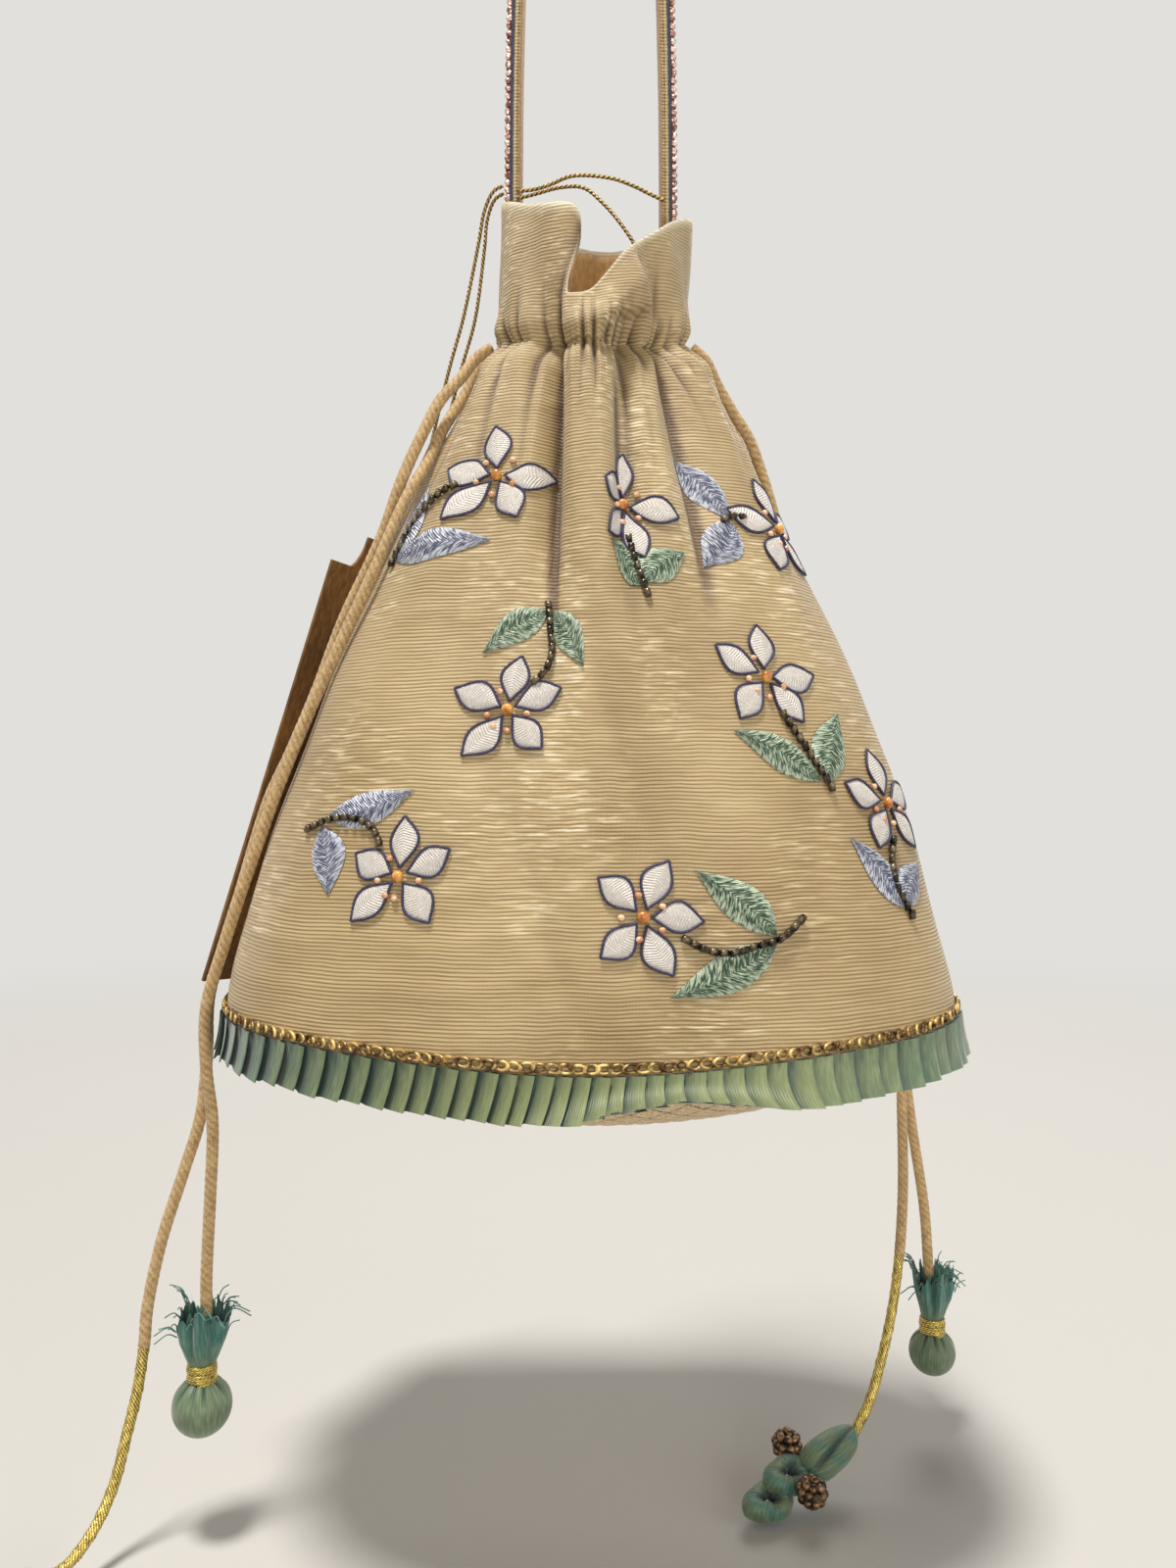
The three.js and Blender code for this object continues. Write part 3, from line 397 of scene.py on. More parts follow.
LEFT_KNOT_CORD = [
    (-27, -3, -152), (-30.8, -4, -155), (-34.6, -6.3, -161), (-39.7, -8.7, -167.5), (-43.8, -10.6, -176),
    (-49.7, -12.4, -190), (-55.2, -12.4, -205.5), (-65.1, -12.3, -227), (-72.1, -12.3, -245.5),
    (-79.3, -12.4, -262.5), (-84.2, -12.4, -273), (-88.2, -12.4, -285), (-91.7, -12.4, -297),
    (-96.2, -12.5, -311.5), (-100.3, -12.5, -326), (-100.9, -12.5, -342), (-102.6, -12.6, -357.5),
    (-106.7, -12.7, -371), (-112.7, -13, -390), (-116.4, -13, -407.5), (-117.2, -13, -417)]
LEFT_KNOT_WRAP = [
    (-117.2, -13.1, -417.5), (-118.6, -14, -428.5), (-120.6, -16, -439), (-123, -19, -451), (-126, -25, -459),
    (-129.5, -33, -462.5), (-133, -41, -460)]
LEFT_BALL_CORD = [
    (-27, 3, -152), (-30.9, 2.8, -156.3), (-34.9, 0, -164.5), (-39.8, -5.8, -175), (-43.4, -11, -185.5),
    (-47.9, -15.7, -195.5), (-55.4, -18.4, -214), (-63.8, -18.1, -232), (-72.5, -18.1, -251),
    (-81, -18.1, -271.5), (-85.1, -18.1, -283), (-89.3, -18.2, -295), (-94.8, -18.2, -312),
    (-99.3, -18.3, -328), (-99.5, -17.3, -344), (-98.5, -15.5, -358), (-99.8, -13.3, -378),
    (-101.5, -11, -399), (-102, -10, -411), (-103, -10, -424.5)]
RIGHT_KNOT_CORD = [
    (27.2, -3, -152), (31, -2, -155), (34.5, 0, -161), (39.1, 2, -168), (43.7, 3.9, -174.5),
    (47.3, 5.8, -183), (51.8, 8.6, -196), (57, 15.3, -212), (63.1, 20.1, -230), (69.4, 24.9, -250),
    (74.9, 29.8, -270), (80.5, 33.8, -290), (86.3, 37.3, -310), (92.1, 39.9, -330), (95.1, 40.5, -350),
    (95.7, 40, -372), (95.4, 38, -394), (93.6, 35, -412)]
RIGHT_KNOT_WRAP = [
    (93.4, 34.7, -412.8), (91, 30.5, -422), (88.3, 26.5, -430), (84.5, 21, -438), (79.8, 16, -447.5),
    (74.5, 13, -455.2)]
RIGHT_BALL_CORD = [
    (27.2, 3, -152), (31, 4, -156.5), (34.6, 5.9, -163.5), (39.5, 8.3, -171), (44.1, 10.7, -180),
    (49.6, 14.4, -196), (54.3, 20.7, -212), (60, 25.5, -230), (65.9, 30.3, -250), (71, 35.2, -270),
    (76.1, 39.2, -290), (82.3, 43.3, -310), (91, 46, -330), (96.4, 46, -350), (100.2, 44.6, -378),
    (103.4, 43, -402), (104.6, 42, -424), (105.5, 42, -436)]

drawstrings = {}
windings = {}


def lay_end(side, end, points, nodes, wound=0):
    laid = cord_piece(f"{side}_{end}_drawstring", points, CORD_DIAMETER, CORD_FINISH, CORD_TWIST, CORD_SIDES,
                      CORD_SPACING, wound)
    settle(laid[0], "drawstring", *nodes)
    drawstrings[side, end] = laid
    print(side, end, "drawstring", round(laid[2] / MM), "mm")


def wind_gold(side, points):
    route, arc = smooth_route(points, WINDING_SPACING)
    swell = WINDING_DIAMETER / 2 * (1 + WINDING_UNEVEN * np.sin(1.9 * arc) * np.sin(0.63 * arc + 1))
    sleeve = tube_grid(route, arc, swell, WINDING_SIDES, WINDING_STRANDS, WINDING_RIDGE, WINDING_PITCH)
    windings[side] = settle(grid_piece(f"{side}_gold_winding", *sleeve, GOLD_FINISH), "gold_thread")


for side, knot_cord, knot_wrap, ball_cord in (
        ("left", LEFT_KNOT_CORD, LEFT_KNOT_WRAP, LEFT_BALL_CORD),
        ("right", RIGHT_KNOT_CORD, RIGHT_KNOT_WRAP, RIGHT_BALL_CORD)):
    lay_end(side, "ball", ball_cord, [f"{side}_ball_cord"])
    wound = smooth_route(knot_wrap, CORD_SPACING)[1][-1]
    lay_end(side, "knot", knot_cord + knot_wrap[1:], [f"{side}_knot_cord", f"{side}_knot_wrap"], wound)
    wind_gold(side, knot_wrap)

# %% [markdown]
# ## The shape of the cloth
# The pouch is a rounded cone: a slightly squared oval at the rim that becomes a small oval at the gathered
# neck. One function gives any point of that surface from an azimuth and a share of the height. Long soft
# folds run down from the neck, and short puckers crowd the gather. The shell, the lining, the trim, the
# ruffle and the embroidery all use it, so they stay on each other when the shape changes.

# %% Sizes, folds and creases
RIM_HALF_WIDTH, RIM_HALF_DEPTH = 96, 60
NECK_HALF_WIDTH, NECK_HALF_DEPTH = 26, 22
NECK_Z, RIM_Z, BASE_Z, TABLE_Z = -152, -328, -359, -470
RIM_SAG, NECK_SAG = 7, 5
SWELL = 1.38
RIM_SQUARENESS, NECK_SQUARENESS = 2.5, 2.0
COLLAR_HEIGHT, COLLAR_FLARE = 40, 1.5
DIP_AZIMUTH, DIP_DEPTH = -0.28, 23
COLLAR_SLOPE, COLLAR_FRONT_SAG = 4, 6.5
FLAP_LIFT, FLAP_RECESS = 4.5, 1.6
FULL_FOLD_RADIUS = 45
FLAP = [
    (11.3, -126), (15.2, -148.3), (7.9, -150.9), (3.1, -154.8), (2.4, -158.1), (4.2, -161.7), (-3, -163),
    (-9, -158), (-9, -146), (0, -130)]
# Each line: azimuth at the neck, azimuth at its foot, width, depth, and the share of the height at its foot
FOLDS = [
    (-0.42, -0.19, 0.11, -5.0, 0.40), (-0.03, 0.02, 0.20, 2.6, 0.30), (0.40, 0.17, 0.10, -3.0, 0.45),
    (0.85, 0.62, 0.16, -3.6, 0.42), (1.25, 1.05, 0.16, 2.2, 0.45), (-1.05, -0.85, 0.20, 2.0, 0.40),
    (2.30, 2.20, 0.16, -3.2, 0.40), (2.75, 2.85, 0.20, 2.4, 0.35), (-2.85, -2.95, 0.14, -3.6, 0.40),
    (-2.35, -2.25, 0.18, 2.2, 0.45)]
CREASES = [
    (-0.62, -0.52, 0.055, -1.5, 0.72), (-0.38, -0.19, 0.045, -2.4, 0.50), (0.30, 0.15, 0.055, -2.0, 0.62),
    (0.60, 0.46, 0.060, -1.6, 0.72), (0.92, 0.66, 0.055, -2.4, 0.55), (-0.95, -0.80, 0.06, -1.4, 0.72),
    (1.30, 1.10, 0.060, -1.5, 0.70), (-1.35, -1.20, 0.06, -1.5, 0.72), (1.80, 1.75, 0.06, -1.8, 0.68),
    (2.35, 2.25, 0.050, -2.4, 0.50), (2.90, 3.00, 0.05, -2.0, 0.60), (-2.80, -2.95, 0.05, -2.4, 0.50),
    (-2.30, -2.20, 0.05, -1.8, 0.60), (-1.85, -1.80, 0.05, -1.8, 0.60)]
print(len(FOLDS), "folds and", len(CREASES), "creases")


# %% Curves that the surface is built from
def bell(distance, width):
    return np.exp(-(distance / width) ** 2)


def wrapped(angle):
    return (angle + np.pi) % (2 * np.pi) - np.pi


def smooth(value):
    value = np.clip(value, 0, 1)
    return value * value * (3 - 2 * value)


def oval(azimuth, half_width, half_depth, squareness):
    return (np.abs(np.sin(azimuth) / half_width) ** squareness
            + np.abs(np.cos(azimuth) / half_depth) ** squareness) ** (-1 / squareness)


def from_axis(azimuth, radius, z):
    return join_axes(radius * np.sin(azimuth), -radius * np.cos(azimuth), z)


def around_axis(count):
    return np.linspace(-np.pi, np.pi, count, endpoint=False)


def neck_height(azimuth):
    return NECK_Z - NECK_SAG * np.maximum(0, np.cos(azimuth))


def rim_height(azimuth):
    return RIM_Z - RIM_SAG * np.cos(azimuth) ** 2


print("neck half width", NECK_HALF_WIDTH, "rim half width", RIM_HALF_WIDTH)

# %% [markdown]
# ## Folds, gathers and crinkles
# A cloth simulation could gather the neck, but its folds would fall where they like. Here each fold has its
# own place, as on the real pouch. A fold is a bell across and fades to its foot, the gather is a beat of
# sharp cosines close to the neck, and slow crossed waves keep the body from looking like a lampshade.

# %% Relief of the cloth
FOLD_STEEPNESS, CREASE_STEEPNESS = 1.0, 2.5
GATHERS, GATHER_DEPTH, GATHER_REACH = 12, 1.3, 11
PINCH_DEPTH, PINCH_REACH = 1.2, 4
PUCKERS, PUCKER_DEPTH = 17, 1.9
SMALL_PUCKERS, SMALL_PUCKER_DEPTH = 27, 1.3
PUCKER_REACH_ABOVE, PUCKER_REACH_BELOW, PUCKER_TAIL = 7, 10, 0.35
GROOVE_DEPTH, GROOVE_REACH = 1.9, 2.8
LONG_CRINKLE, SHORT_CRINKLE, CALM_RIM = 0.9, 0.5, 0.12
DEEPER_FOLDS, DEEPER_FROM, DEEPER_OVER = 1.4, 0.42, 0.3


def drawn_lines(lines, azimuth, share, steepness):
    total = 0
    for neck, foot, width, depth, end in lines:
        rise = (share - end) / (1 - end)
        middle = foot + (neck - foot) * rise
        total = total + depth * smooth(rise * steepness) * bell(wrapped(azimuth - middle), width)
    return total


def fold_depth(azimuth, share, radius):
    return drawn_lines(FOLDS, azimuth, share, FOLD_STEEPNESS) * np.minimum(1, radius / FULL_FOLD_RADIUS)


def neck_creases(azimuth, share):
    return drawn_lines(CREASES, azimuth, share, CREASE_STEEPNESS)


def gather_depth(azimuth, z):
    above = z - neck_height(azimuth)
    gathers = GATHER_DEPTH * np.cos(GATHERS * azimuth) * bell(above, GATHER_REACH)
    return -gathers - PINCH_DEPTH * bell(above, PINCH_REACH)


def fine_puckers(azimuth, z):
    above = z - neck_height(azimuth)
    crowd = bell(above, np.where(above > 0, PUCKER_REACH_ABOVE, PUCKER_REACH_BELOW))
    wander = 0.05 * np.sin(above * 0.25 + 5 * azimuth)
    beat = 1.15 * np.sin(3 * azimuth + 0.6) + 0.6 * np.sin(7 * azimuth)
    sharp = np.abs(np.cos(PUCKERS * azimuth + beat + wander)) ** 0.6 - 0.5
    small = np.abs(np.cos(SMALL_PUCKERS * azimuth + 1.4 * np.sin(5 * azimuth) + 1 + 0.08 * above)) - 0.5
    strength = 1 + 0.4 * np.sin(5 * azimuth + 2)
    crowded = strength * (PUCKER_DEPTH * sharp + SMALL_PUCKER_DEPTH * small) * crowd
    tail = PUCKER_TAIL * sharp * bell(above + 14, 12)
    return crowded + tail - GROOVE_DEPTH * bell(above, GROOVE_REACH)


def body_crinkle(azimuth, share, z):
    long_wave = np.sin(7 * azimuth + 0.018 * z) * np.sin(0.035 * z + 2.2 * np.sin(2 * azimuth))
    short_wave = np.sin(13 * azimuth + 0.05 * z + 1.7) * np.sin(0.09 * z + 3 * np.sin(3 * azimuth))
    return (LONG_CRINKLE * long_wave + SHORT_CRINKLE * short_wave) * smooth(share / CALM_RIM)


def body_point(azimuth, share, offset=0.0, relief=1.0, detail=0.0):
    low = rim_height(azimuth)
    z = low + share * (neck_height(azimuth) - low)
    spread = 1 - share ** SWELL
    half_width = NECK_HALF_WIDTH + (RIM_HALF_WIDTH - NECK_HALF_WIDTH) * spread
    half_depth = NECK_HALF_DEPTH + (RIM_HALF_DEPTH - NECK_HALF_DEPTH) * spread
    squareness = RIM_SQUARENESS + (NECK_SQUARENESS - RIM_SQUARENESS) * share
    radius = oval(azimuth, half_width, half_depth, squareness)
    radius = radius + relief * (fold_depth(azimuth, share, radius) + gather_depth(azimuth, z)) + offset
    deeper = DEEPER_FOLDS * fold_depth(azimuth, share, radius) * smooth((share - DEEPER_FROM) / DEEPER_OVER)
    folds = deeper + neck_creases(azimuth, share)
    radius = radius + detail * (folds + fine_puckers(azimuth, z) + body_crinkle(azimuth, share, z))
    return from_axis(azimuth, radius, z)


print("rim point at the front", body_point(0.0, 0.0).round(1))

# %% [markdown]
# ## The collar
# Above the gather the same cloth stands up as a floppy collar. It dips at the front, where a flap of it
# folds over. The flap's outline is a short list of points on the front, and inside that outline the cloth
# is lifted, with a shallow hollow just outside it. A separate flap would leave an open seam.

# %% Surface of the collar
DIP_LEFT_SPREAD, DIP_RIGHT_SPREAD = 0.1, 1.05
DIP_TWIST, PLAIN_DIP_TWIST, TWIST_SPREAD = 0.3, 0.26, 0.22
LEAN_FROM, LEAN_OVER = -146, 24
FLAP_LEFT, FLAP_RIGHT = -9, 26
LEFT_TUCK, FLUTTER_DEPTH = 3.0, 0.5
# Each droop of the collar's edge: its azimuth, its spread and how far it falls
DROOPS = [(-0.9, 0.55, 2.4), (0.4, 0.3, -3.2)]


def collar_top(azimuth):
    beyond = wrapped(azimuth - DIP_AZIMUTH)
    dip = bell(beyond, np.where(beyond < 0, DIP_LEFT_SPREAD, DIP_RIGHT_SPREAD))
    slope = COLLAR_SLOPE * (1 - np.maximum(0, -np.sin(azimuth)))
    sag = COLLAR_FRONT_SAG * np.maximum(0, np.cos(azimuth)) ** 2
    return COLLAR_HEIGHT - slope - sag - DIP_DEPTH * dip


def inside_flap(x, z):
    inside = np.zeros(np.shape(x), bool)
    away = np.full(np.shape(x), np.inf)
    for (ax, az), (bx, bz) in zip(FLAP, FLAP[1:] + FLAP[:1]):
        run, rise = bx - ax, bz - az
        share = np.clip(((x - ax) * run + (z - az) * rise) / (run ** 2 + rise ** 2), 0, 1)
        away = np.minimum(away, np.hypot(x - ax - share * run, z - az - share * rise))
        inside ^= ((az > z) != (bz > z)) & (x < ax + (z - az) / (rise + 1e-9) * run)
    return np.where(inside, away, -away)


def flap_bulge(azimuth, radius, z, top):
    x = radius * np.sin(azimuth)
    depth = inside_flap(x, z)
    front = smooth((x - FLAP_LEFT) / 9) * smooth((FLAP_RIGHT - x) / 6) * (np.cos(azimuth) > 0)
    lift = FLAP_LIFT * smooth((depth + 0.5) / 2.4) * (0.15 + 0.85 * smooth((top - z) / 12))
    return front * (lift - FLAP_RECESS * bell(depth + 3.5, 3.0))


def collar_point(azimuth, share, offset=0.0, detail=0.0):
    neck = neck_height(azimuth)
    droop = sum(fall * bell(wrapped(azimuth - place), spread) for place, spread, fall in DROOPS)
    top = NECK_Z + collar_top(azimuth) - detail * droop
    z = neck + share * (top - neck)
    lean = smooth((z - LEAN_FROM) / LEAN_OVER) if detail else share
    twist = DIP_TWIST if detail else PLAIN_DIP_TWIST
    turned = azimuth + twist * lean * bell(wrapped(azimuth - DIP_AZIMUTH + 0.1), TWIST_SPREAD)
    half_width = NECK_HALF_WIDTH + COLLAR_FLARE * share
    half_depth = NECK_HALF_DEPTH - COLLAR_FLARE * share
    radius = oval(turned, half_width, half_depth, NECK_SQUARENESS) + share * np.cos(3 * azimuth)
    radius = radius + fold_depth(azimuth, 1.0, half_depth) * (1 - share) + gather_depth(azimuth, z) + offset
    flutter = FLUTTER_DEPTH * np.sin(9 * azimuth + 0.1 * z) * share
    flutter = flutter + neck_creases(azimuth, 1.0) * (1 - share) ** 2
    flutter = flutter - LEFT_TUCK * share * np.maximum(0, -np.sin(azimuth)) ** 2
    radius = radius + detail * (fine_puckers(azimuth, z) + flutter + flap_bulge(turned, radius, z, top))
    return from_axis(turned, radius, z)


print("collar height at the dip", round(float(collar_top(DIP_AZIMUTH)), 1), "mm")

# %% [markdown]
# ## The silk
# The shell is a slubbed silk with fine horizontal ribs about 0.9 mm apart. Their relief catches the light on
# the folds, and their colour is painted lighter on top and darker between them, partly the weave's own stripe
# and partly painted shade in the grooves. Short bright glints are painted in patches as painted highlights.
# Colour varies along each rib, because the yarn is uneven. The ribs stay level while the rim curves, so the
# UV map of the shell holds the height itself.

# %% Silk finish
RIB_PITCH = 0.9
WARP_PITCH = 0.42


def silk_finish():
    wire = new_finish("ribbed_silk")
    _, across, height = cloth_place(wire)

    def grain(along, upward, detail, level, kind="FBM"):
        spot = wire.make("ShaderNodeCombineXYZ", {"X": across * along, "Y": level * upward})
        return spot.noise(1.0, detail, noise_type=kind)

    level = height + grain(0.04, 0.03, 2.0, height) * 1.8
    # The ribs' colour is lighter on top and darker in the grooves, partly the weave's own stripe and partly
    # painted shade.
    rib = (level.wave(RIB_PITCH) * 0.5 + 0.5).math("POWER", 0.6)
    slub = grain(0.05, 1.0, 3.0, level)
    streak = grain(0.12, 3.0, 2.0, level)
    patch = grain(0.016, 0.022, 3.0, height)
    shimmer = grain(0.026, 0.024, 3.0, height).clamp(0.44, 0.62)
    # Painted highlights: short bright glints in patches, laid into the colour.
    painted_glints = grain(0.1, 0.9, 4.0, level).clamp(0.48, 0.68) * shimmer
    crease = grain(0.03, 0.09, 4.0, height, "RIDGED_MULTIFRACTAL")
    crinkle = grain(0.05, 0.26, 3.0, level, "RIDGED_MULTIFRACTAL") * shimmer
    warp = across.wave(WARP_PITCH) * 0.5 + 0.5
    tone = rib * 0.38 + slub * 0.26 + streak * 0.26 + patch * 0.6 + painted_glints * 0.4 - 0.37
    woven = tone.ramp([(0.0, srgb(116, 91, 55)), (0.35, srgb(168, 142, 98)), (0.65, srgb(203, 181, 136)),
                       (1.0, srgb(240, 228, 198))])
    edged = (painted(wire, "hem") * 0.7).mix(woven, srgb(236, 224, 194))
    # Painted shade: the cloth is painted dark brown where it lies behind its neighbours.
    colour = (painted(wire, "hollow") * 0.85).mix(edged, srgb(84, 58, 30))
    relief = rib * 0.45 + slub * 0.4 + streak * 0.3 + warp * 0.12 + crease * 3.6 + crinkle * 1.6
    return close_finish(wire, colour, 0.58 - rib * 0.16 - painted_glints * 0.1, relief, 0.6, 0.5,
                        Sheen_Weight=0.25, Sheen_Roughness=0.4, Specular_IOR_Level=0.5)


SILK_FINISH = silk_finish()
print("silk ribs every", RIB_PITCH, "mm")

# %% [markdown]
# ## The outer shell
# The shell is one sheet from the rim to the collar's edge, with closer rows at the gather. Two values are
# stored at each point for the finish: one marks where the cloth lies behind its neighbours, so that it is
# painted darker there as painted shade, and `hem` marks the pale turned edge of the collar.

# %% Make the outer shell
SHELL_AZIMUTHS = 330
BODY_ROWS, GATHER_ROWS, COLLAR_ROWS, GATHER_FROM = 56, 40, 40, 0.79
SHELL_THICKNESS = 0.9
HALF_CUT = 250
HOLLOW_REACH, HOLLOW_START, HOLLOW_DEPTH = 4, 0.1, 0.65
HEM_FROM, HEM_OVER = 0.93, 0.04

shell_azimuth = around_axis(SHELL_AZIMUTHS)[None, :]
body_share = [np.linspace(0, GATHER_FROM - 0.01, BODY_ROWS), np.linspace(GATHER_FROM, 1, GATHER_ROWS)]
body_share = np.concatenate(body_share)[:, None]
collar_share = np.linspace(0, 1, COLLAR_ROWS)[1:, None]
shell_grid = np.concatenate([
    body_point(shell_azimuth, body_share, detail=1.0),
    collar_point(shell_azimuth, collar_share, detail=1.0)])
shell_height = np.concatenate([shell_grid[..., 2], shell_grid[:, :1, 2]], axis=1)
shell_uv = join_axes(np.linspace(-HALF_CUT, HALF_CUT, SHELL_AZIMUTHS + 1)[None, :], shell_height)
shell = grid_piece("silk_shell", shell_grid, shell_uv, SILK_FINISH)

shell_radius = np.hypot(shell_grid[..., 0], shell_grid[..., 1])
# Painted shade: how far each point lies behind the average of its neighbours sets how dark it is painted.
beside = sum(np.roll(shell_radius, k, axis=1) for k in range(-HOLLOW_REACH, HOLLOW_REACH + 1))
behind = beside / (2 * HOLLOW_REACH + 1) - shell_radius
hem = np.concatenate([0 * body_share, smooth((collar_share - HEM_FROM) / HEM_OVER)]) + 0 * shell_azimuth
paint(shell, hollow=np.clip((behind - HOLLOW_START) / HOLLOW_DEPTH, 0, 1), hem=hem)
thicken(shell, SHELL_THICKNESS)
settle(shell, "silk_shell", "outer_shell")
print("shell area", area_of(shell), "square metres")

# %% [markdown]
# ## The lining
# A golden brown lining shows where the collar dips at the front. It is the same surface, set a little inside,
# and it leaves room at the gather for the drawstrings. A plain weave of two crossed sines is enough for it.


# %% Plain cloth finish
def cloth_finish(name, dark, light, weave, **constants):
    wire = new_finish(name)
    place, across, along = cloth_place(wire)
    crossing = across.wave(weave) * along.wave(weave)
    grain = place.noise(1.6, 2.0)
    shade = (place.noise(0.12, 4.0) * 0.8 + grain * 0.5 + crossing * 0.08 - 0.15).clamp(0.15, 0.85)
    return close_finish(wire, shade.mix(dark, light), 0.5, crossing * 0.4 + grain, 0.4, **constants)


LINING_FINISH = cloth_finish("lining_satin", srgb(158, 114, 58), srgb(224, 178, 108), 0.5, Sheen_Weight=0.2)
print("lining weave ready")

# %% Make the lining
LINING_AZIMUTHS = 180
LINING_THICKNESS = 0.6
LINING_LENGTH = 215
SEAM_ALLOWANCE = 1.46
CASING_ROOM, CASING_REACH = 8, 10
LINING_GAP, SHOULDER_GAP = 6.5, 9


def casing_inset(azimuth, z):
    return -(SEAM_ALLOWANCE + CASING_ROOM * bell(np.maximum(0, z - neck_height(azimuth)), CASING_REACH))


lining_azimuth = around_axis(LINING_AZIMUTHS)[None, :]
lining_share = np.linspace(0.03, 0.83, 24)[:, None]
throat = np.linspace(0.86, 1.0, 8)[:, None]
mouth = np.linspace(0.1, 0.95, 16)[:, None]
throat_z = rim_height(lining_azimuth) + throat * (neck_height(lining_azimuth) - rim_height(lining_azimuth))
mouth_z = collar_point(lining_azimuth, mouth)[..., 2]
lining_gap = LINING_GAP + SHOULDER_GAP * smooth((lining_share - 0.4) / 0.25)
lining_grid = np.concatenate([
    body_point(lining_azimuth, lining_share, -lining_gap, relief=0.0),
    body_point(lining_azimuth, throat, casing_inset(lining_azimuth, throat_z)),
    collar_point(lining_azimuth, mouth, casing_inset(lining_azimuth, mouth_z), detail=1.0)])
lining_rows = np.linspace(0, LINING_LENGTH, len(lining_grid))[:, None]
lining_uv = join_axes(np.linspace(-HALF_CUT, HALF_CUT, LINING_AZIMUTHS + 1)[None, :], lining_rows)
lining = grid_piece("satin_lining", lining_grid, lining_uv, LINING_FINISH)
thicken(lining, LINING_THICKNESS)
settle(lining, "lining_cloth", "lining")
print("lining area", area_of(lining), "square metres")

# %% [markdown]
# ## The loops in the casing
# Inside the gather each drawstring makes one turn round the neck, one above the other. They are hidden
# between the shell and the lining, so plain tubes in the cord's finish are enough.

# %% Run the drawstrings through the casing
LOOP_RADIUS = 1.2
LOOP_INSET = -6.2
LOOP_SHIFT = 1.7
LOOP_POINTS, LOOP_SIDES = 181, 10

for side, shift in (("left", LOOP_SHIFT), ("right", -LOOP_SHIFT)):
    ring = collar_point(np.linspace(-np.pi, np.pi, LOOP_POINTS), 0.0, LOOP_INSET)
    ring = ring + np.array((0, 0, shift))
    travelled = np.concatenate([[0], np.cumsum(np.linalg.norm(np.diff(ring, axis=0), axis=1))])
    tube = tube_grid(ring, travelled, LOOP_RADIUS, LOOP_SIDES)
    loop = grid_piece(f"{side}_casing_loop", *tube, CORD_FINISH)
    settle(loop, "drawstring", f"{side}_drawstring_loop")
    print(side, "loop", round(travelled[-1]), "mm")

# %% [markdown]
# ## The quilted base
# The base is a cream pad that bulges below the rim, quilted in diamonds 9 mm wide with thin brown stitches.
# The diamonds are modelled, because their soft swell shows along the lower edge, and the finish adds the
# stitches in the same places.

# %% Base finish
QUILT_PITCH = 9.0
QUILT_STITCH = 2.2


def quilt_finish():
    wire = new_finish("quilted_base")
    place, across, along = cloth_place(wire)
    one = (across + along).wave(2 * QUILT_PITCH).math("ABSOLUTE")
    two = (across - along).wave(2 * QUILT_PITCH).math("ABSOLUTE")
    dash = across.wave(QUILT_STITCH).clamp(-0.5, 0.1)
    stitch = (1 - one.math("MINIMUM", two).clamp(0.1, 0.24)) * (dash * 0.4 + 0.6)
    grain = place.noise(1.1, 4.0)
    cream = grain.clamp(0.3, 0.7).mix(srgb(176, 142, 90), srgb(222, 196, 144))
    colour = stitch.mix(cream, srgb(98, 60, 28))
    return close_finish(wire, colour, 0.7, along.wave(RIB_PITCH) * 0.3 + grain, 0.4, Sheen_Weight=0.25)


BASE_FINISH = quilt_finish()
print("quilt diamonds", QUILT_PITCH, "mm wide")

# %% Make the quilted base
QUILT_PUFF = 0.7
BASE_AZIMUTHS, BASE_ROWS = 300, 60
BASE_ROUNDNESS = 0.75
BASE_THICKNESS = 1.6

base_share = np.linspace(0.0, 1.0, BASE_ROWS)[:, None] ** 0.8
base_edge = body_point(around_axis(BASE_AZIMUTHS)[None, :], 0.0)
base_x, base_y = base_edge[..., 0] * base_share, base_edge[..., 1] * base_share
base_rim = base_edge[..., 2] - CLEARANCE
base_fall = (1 - base_share ** 2) ** BASE_ROUNDNESS
quilt = np.minimum(np.abs(np.sin(np.pi * (base_x + base_y) / QUILT_PITCH)),
                   np.abs(np.sin(np.pi * (base_x - base_y) / QUILT_PITCH))) ** 0.6
puff = QUILT_PUFF * quilt * np.minimum(1, 4 * base_fall)
base_z = base_rim + (BASE_Z + QUILT_PUFF * 0.6 - base_rim) * base_fall - puff
base_grid = np.stack([base_x, base_y, base_z], axis=-1)
base_flat = np.concatenate([base_grid, base_grid[:, :1]], axis=1)[..., :2]
base = grid_piece("quilted_base", base_grid, base_flat, BASE_FINISH)
thicken(base, BASE_THICKNESS)
settle(base, "base_cloth", "base_panel")
print("base drop", round(float(RIM_Z - base_z.min()), 1), "mm")

# %% [markdown]
# ## Repeating along a line with Geometry Nodes
# Chain stitches, beads and sequins all repeat along a line that lies on a surface. Geometry Nodes can place
# them: the line becomes a curve, the curve is cut into even steps, and a small shape is set at each step. The
# stored `outward` direction turns each shape away from the cloth. The result is then kept as a plain mesh.


# %% Lines for Geometry Nodes
def line_piece(name, lines):
    vertices, edges, outward = [], [], []
    for route, normals, closed in lines:
        start = len(vertices)
        vertices += (np.asarray(route) * MM).tolist()
        outward += np.asarray(normals).tolist()
        last = len(vertices) - 1
        edges += [(k, k + 1) for k in range(start, last)] + ([(last, start)] if closed else [])
    mesh = bpy.data.meshes.new(name)
    mesh.from_pydata(vertices, edges, [])
    stored = mesh.attributes.new("outward", "FLOAT_VECTOR", "POINT")
    stored.data.foreach_set("vector", np.asarray(outward, dtype=np.float32).reshape(-1))
    piece = bpy.data.objects.new(name, mesh)
    bpy.context.scene.collection.objects.link(piece)
    return piece


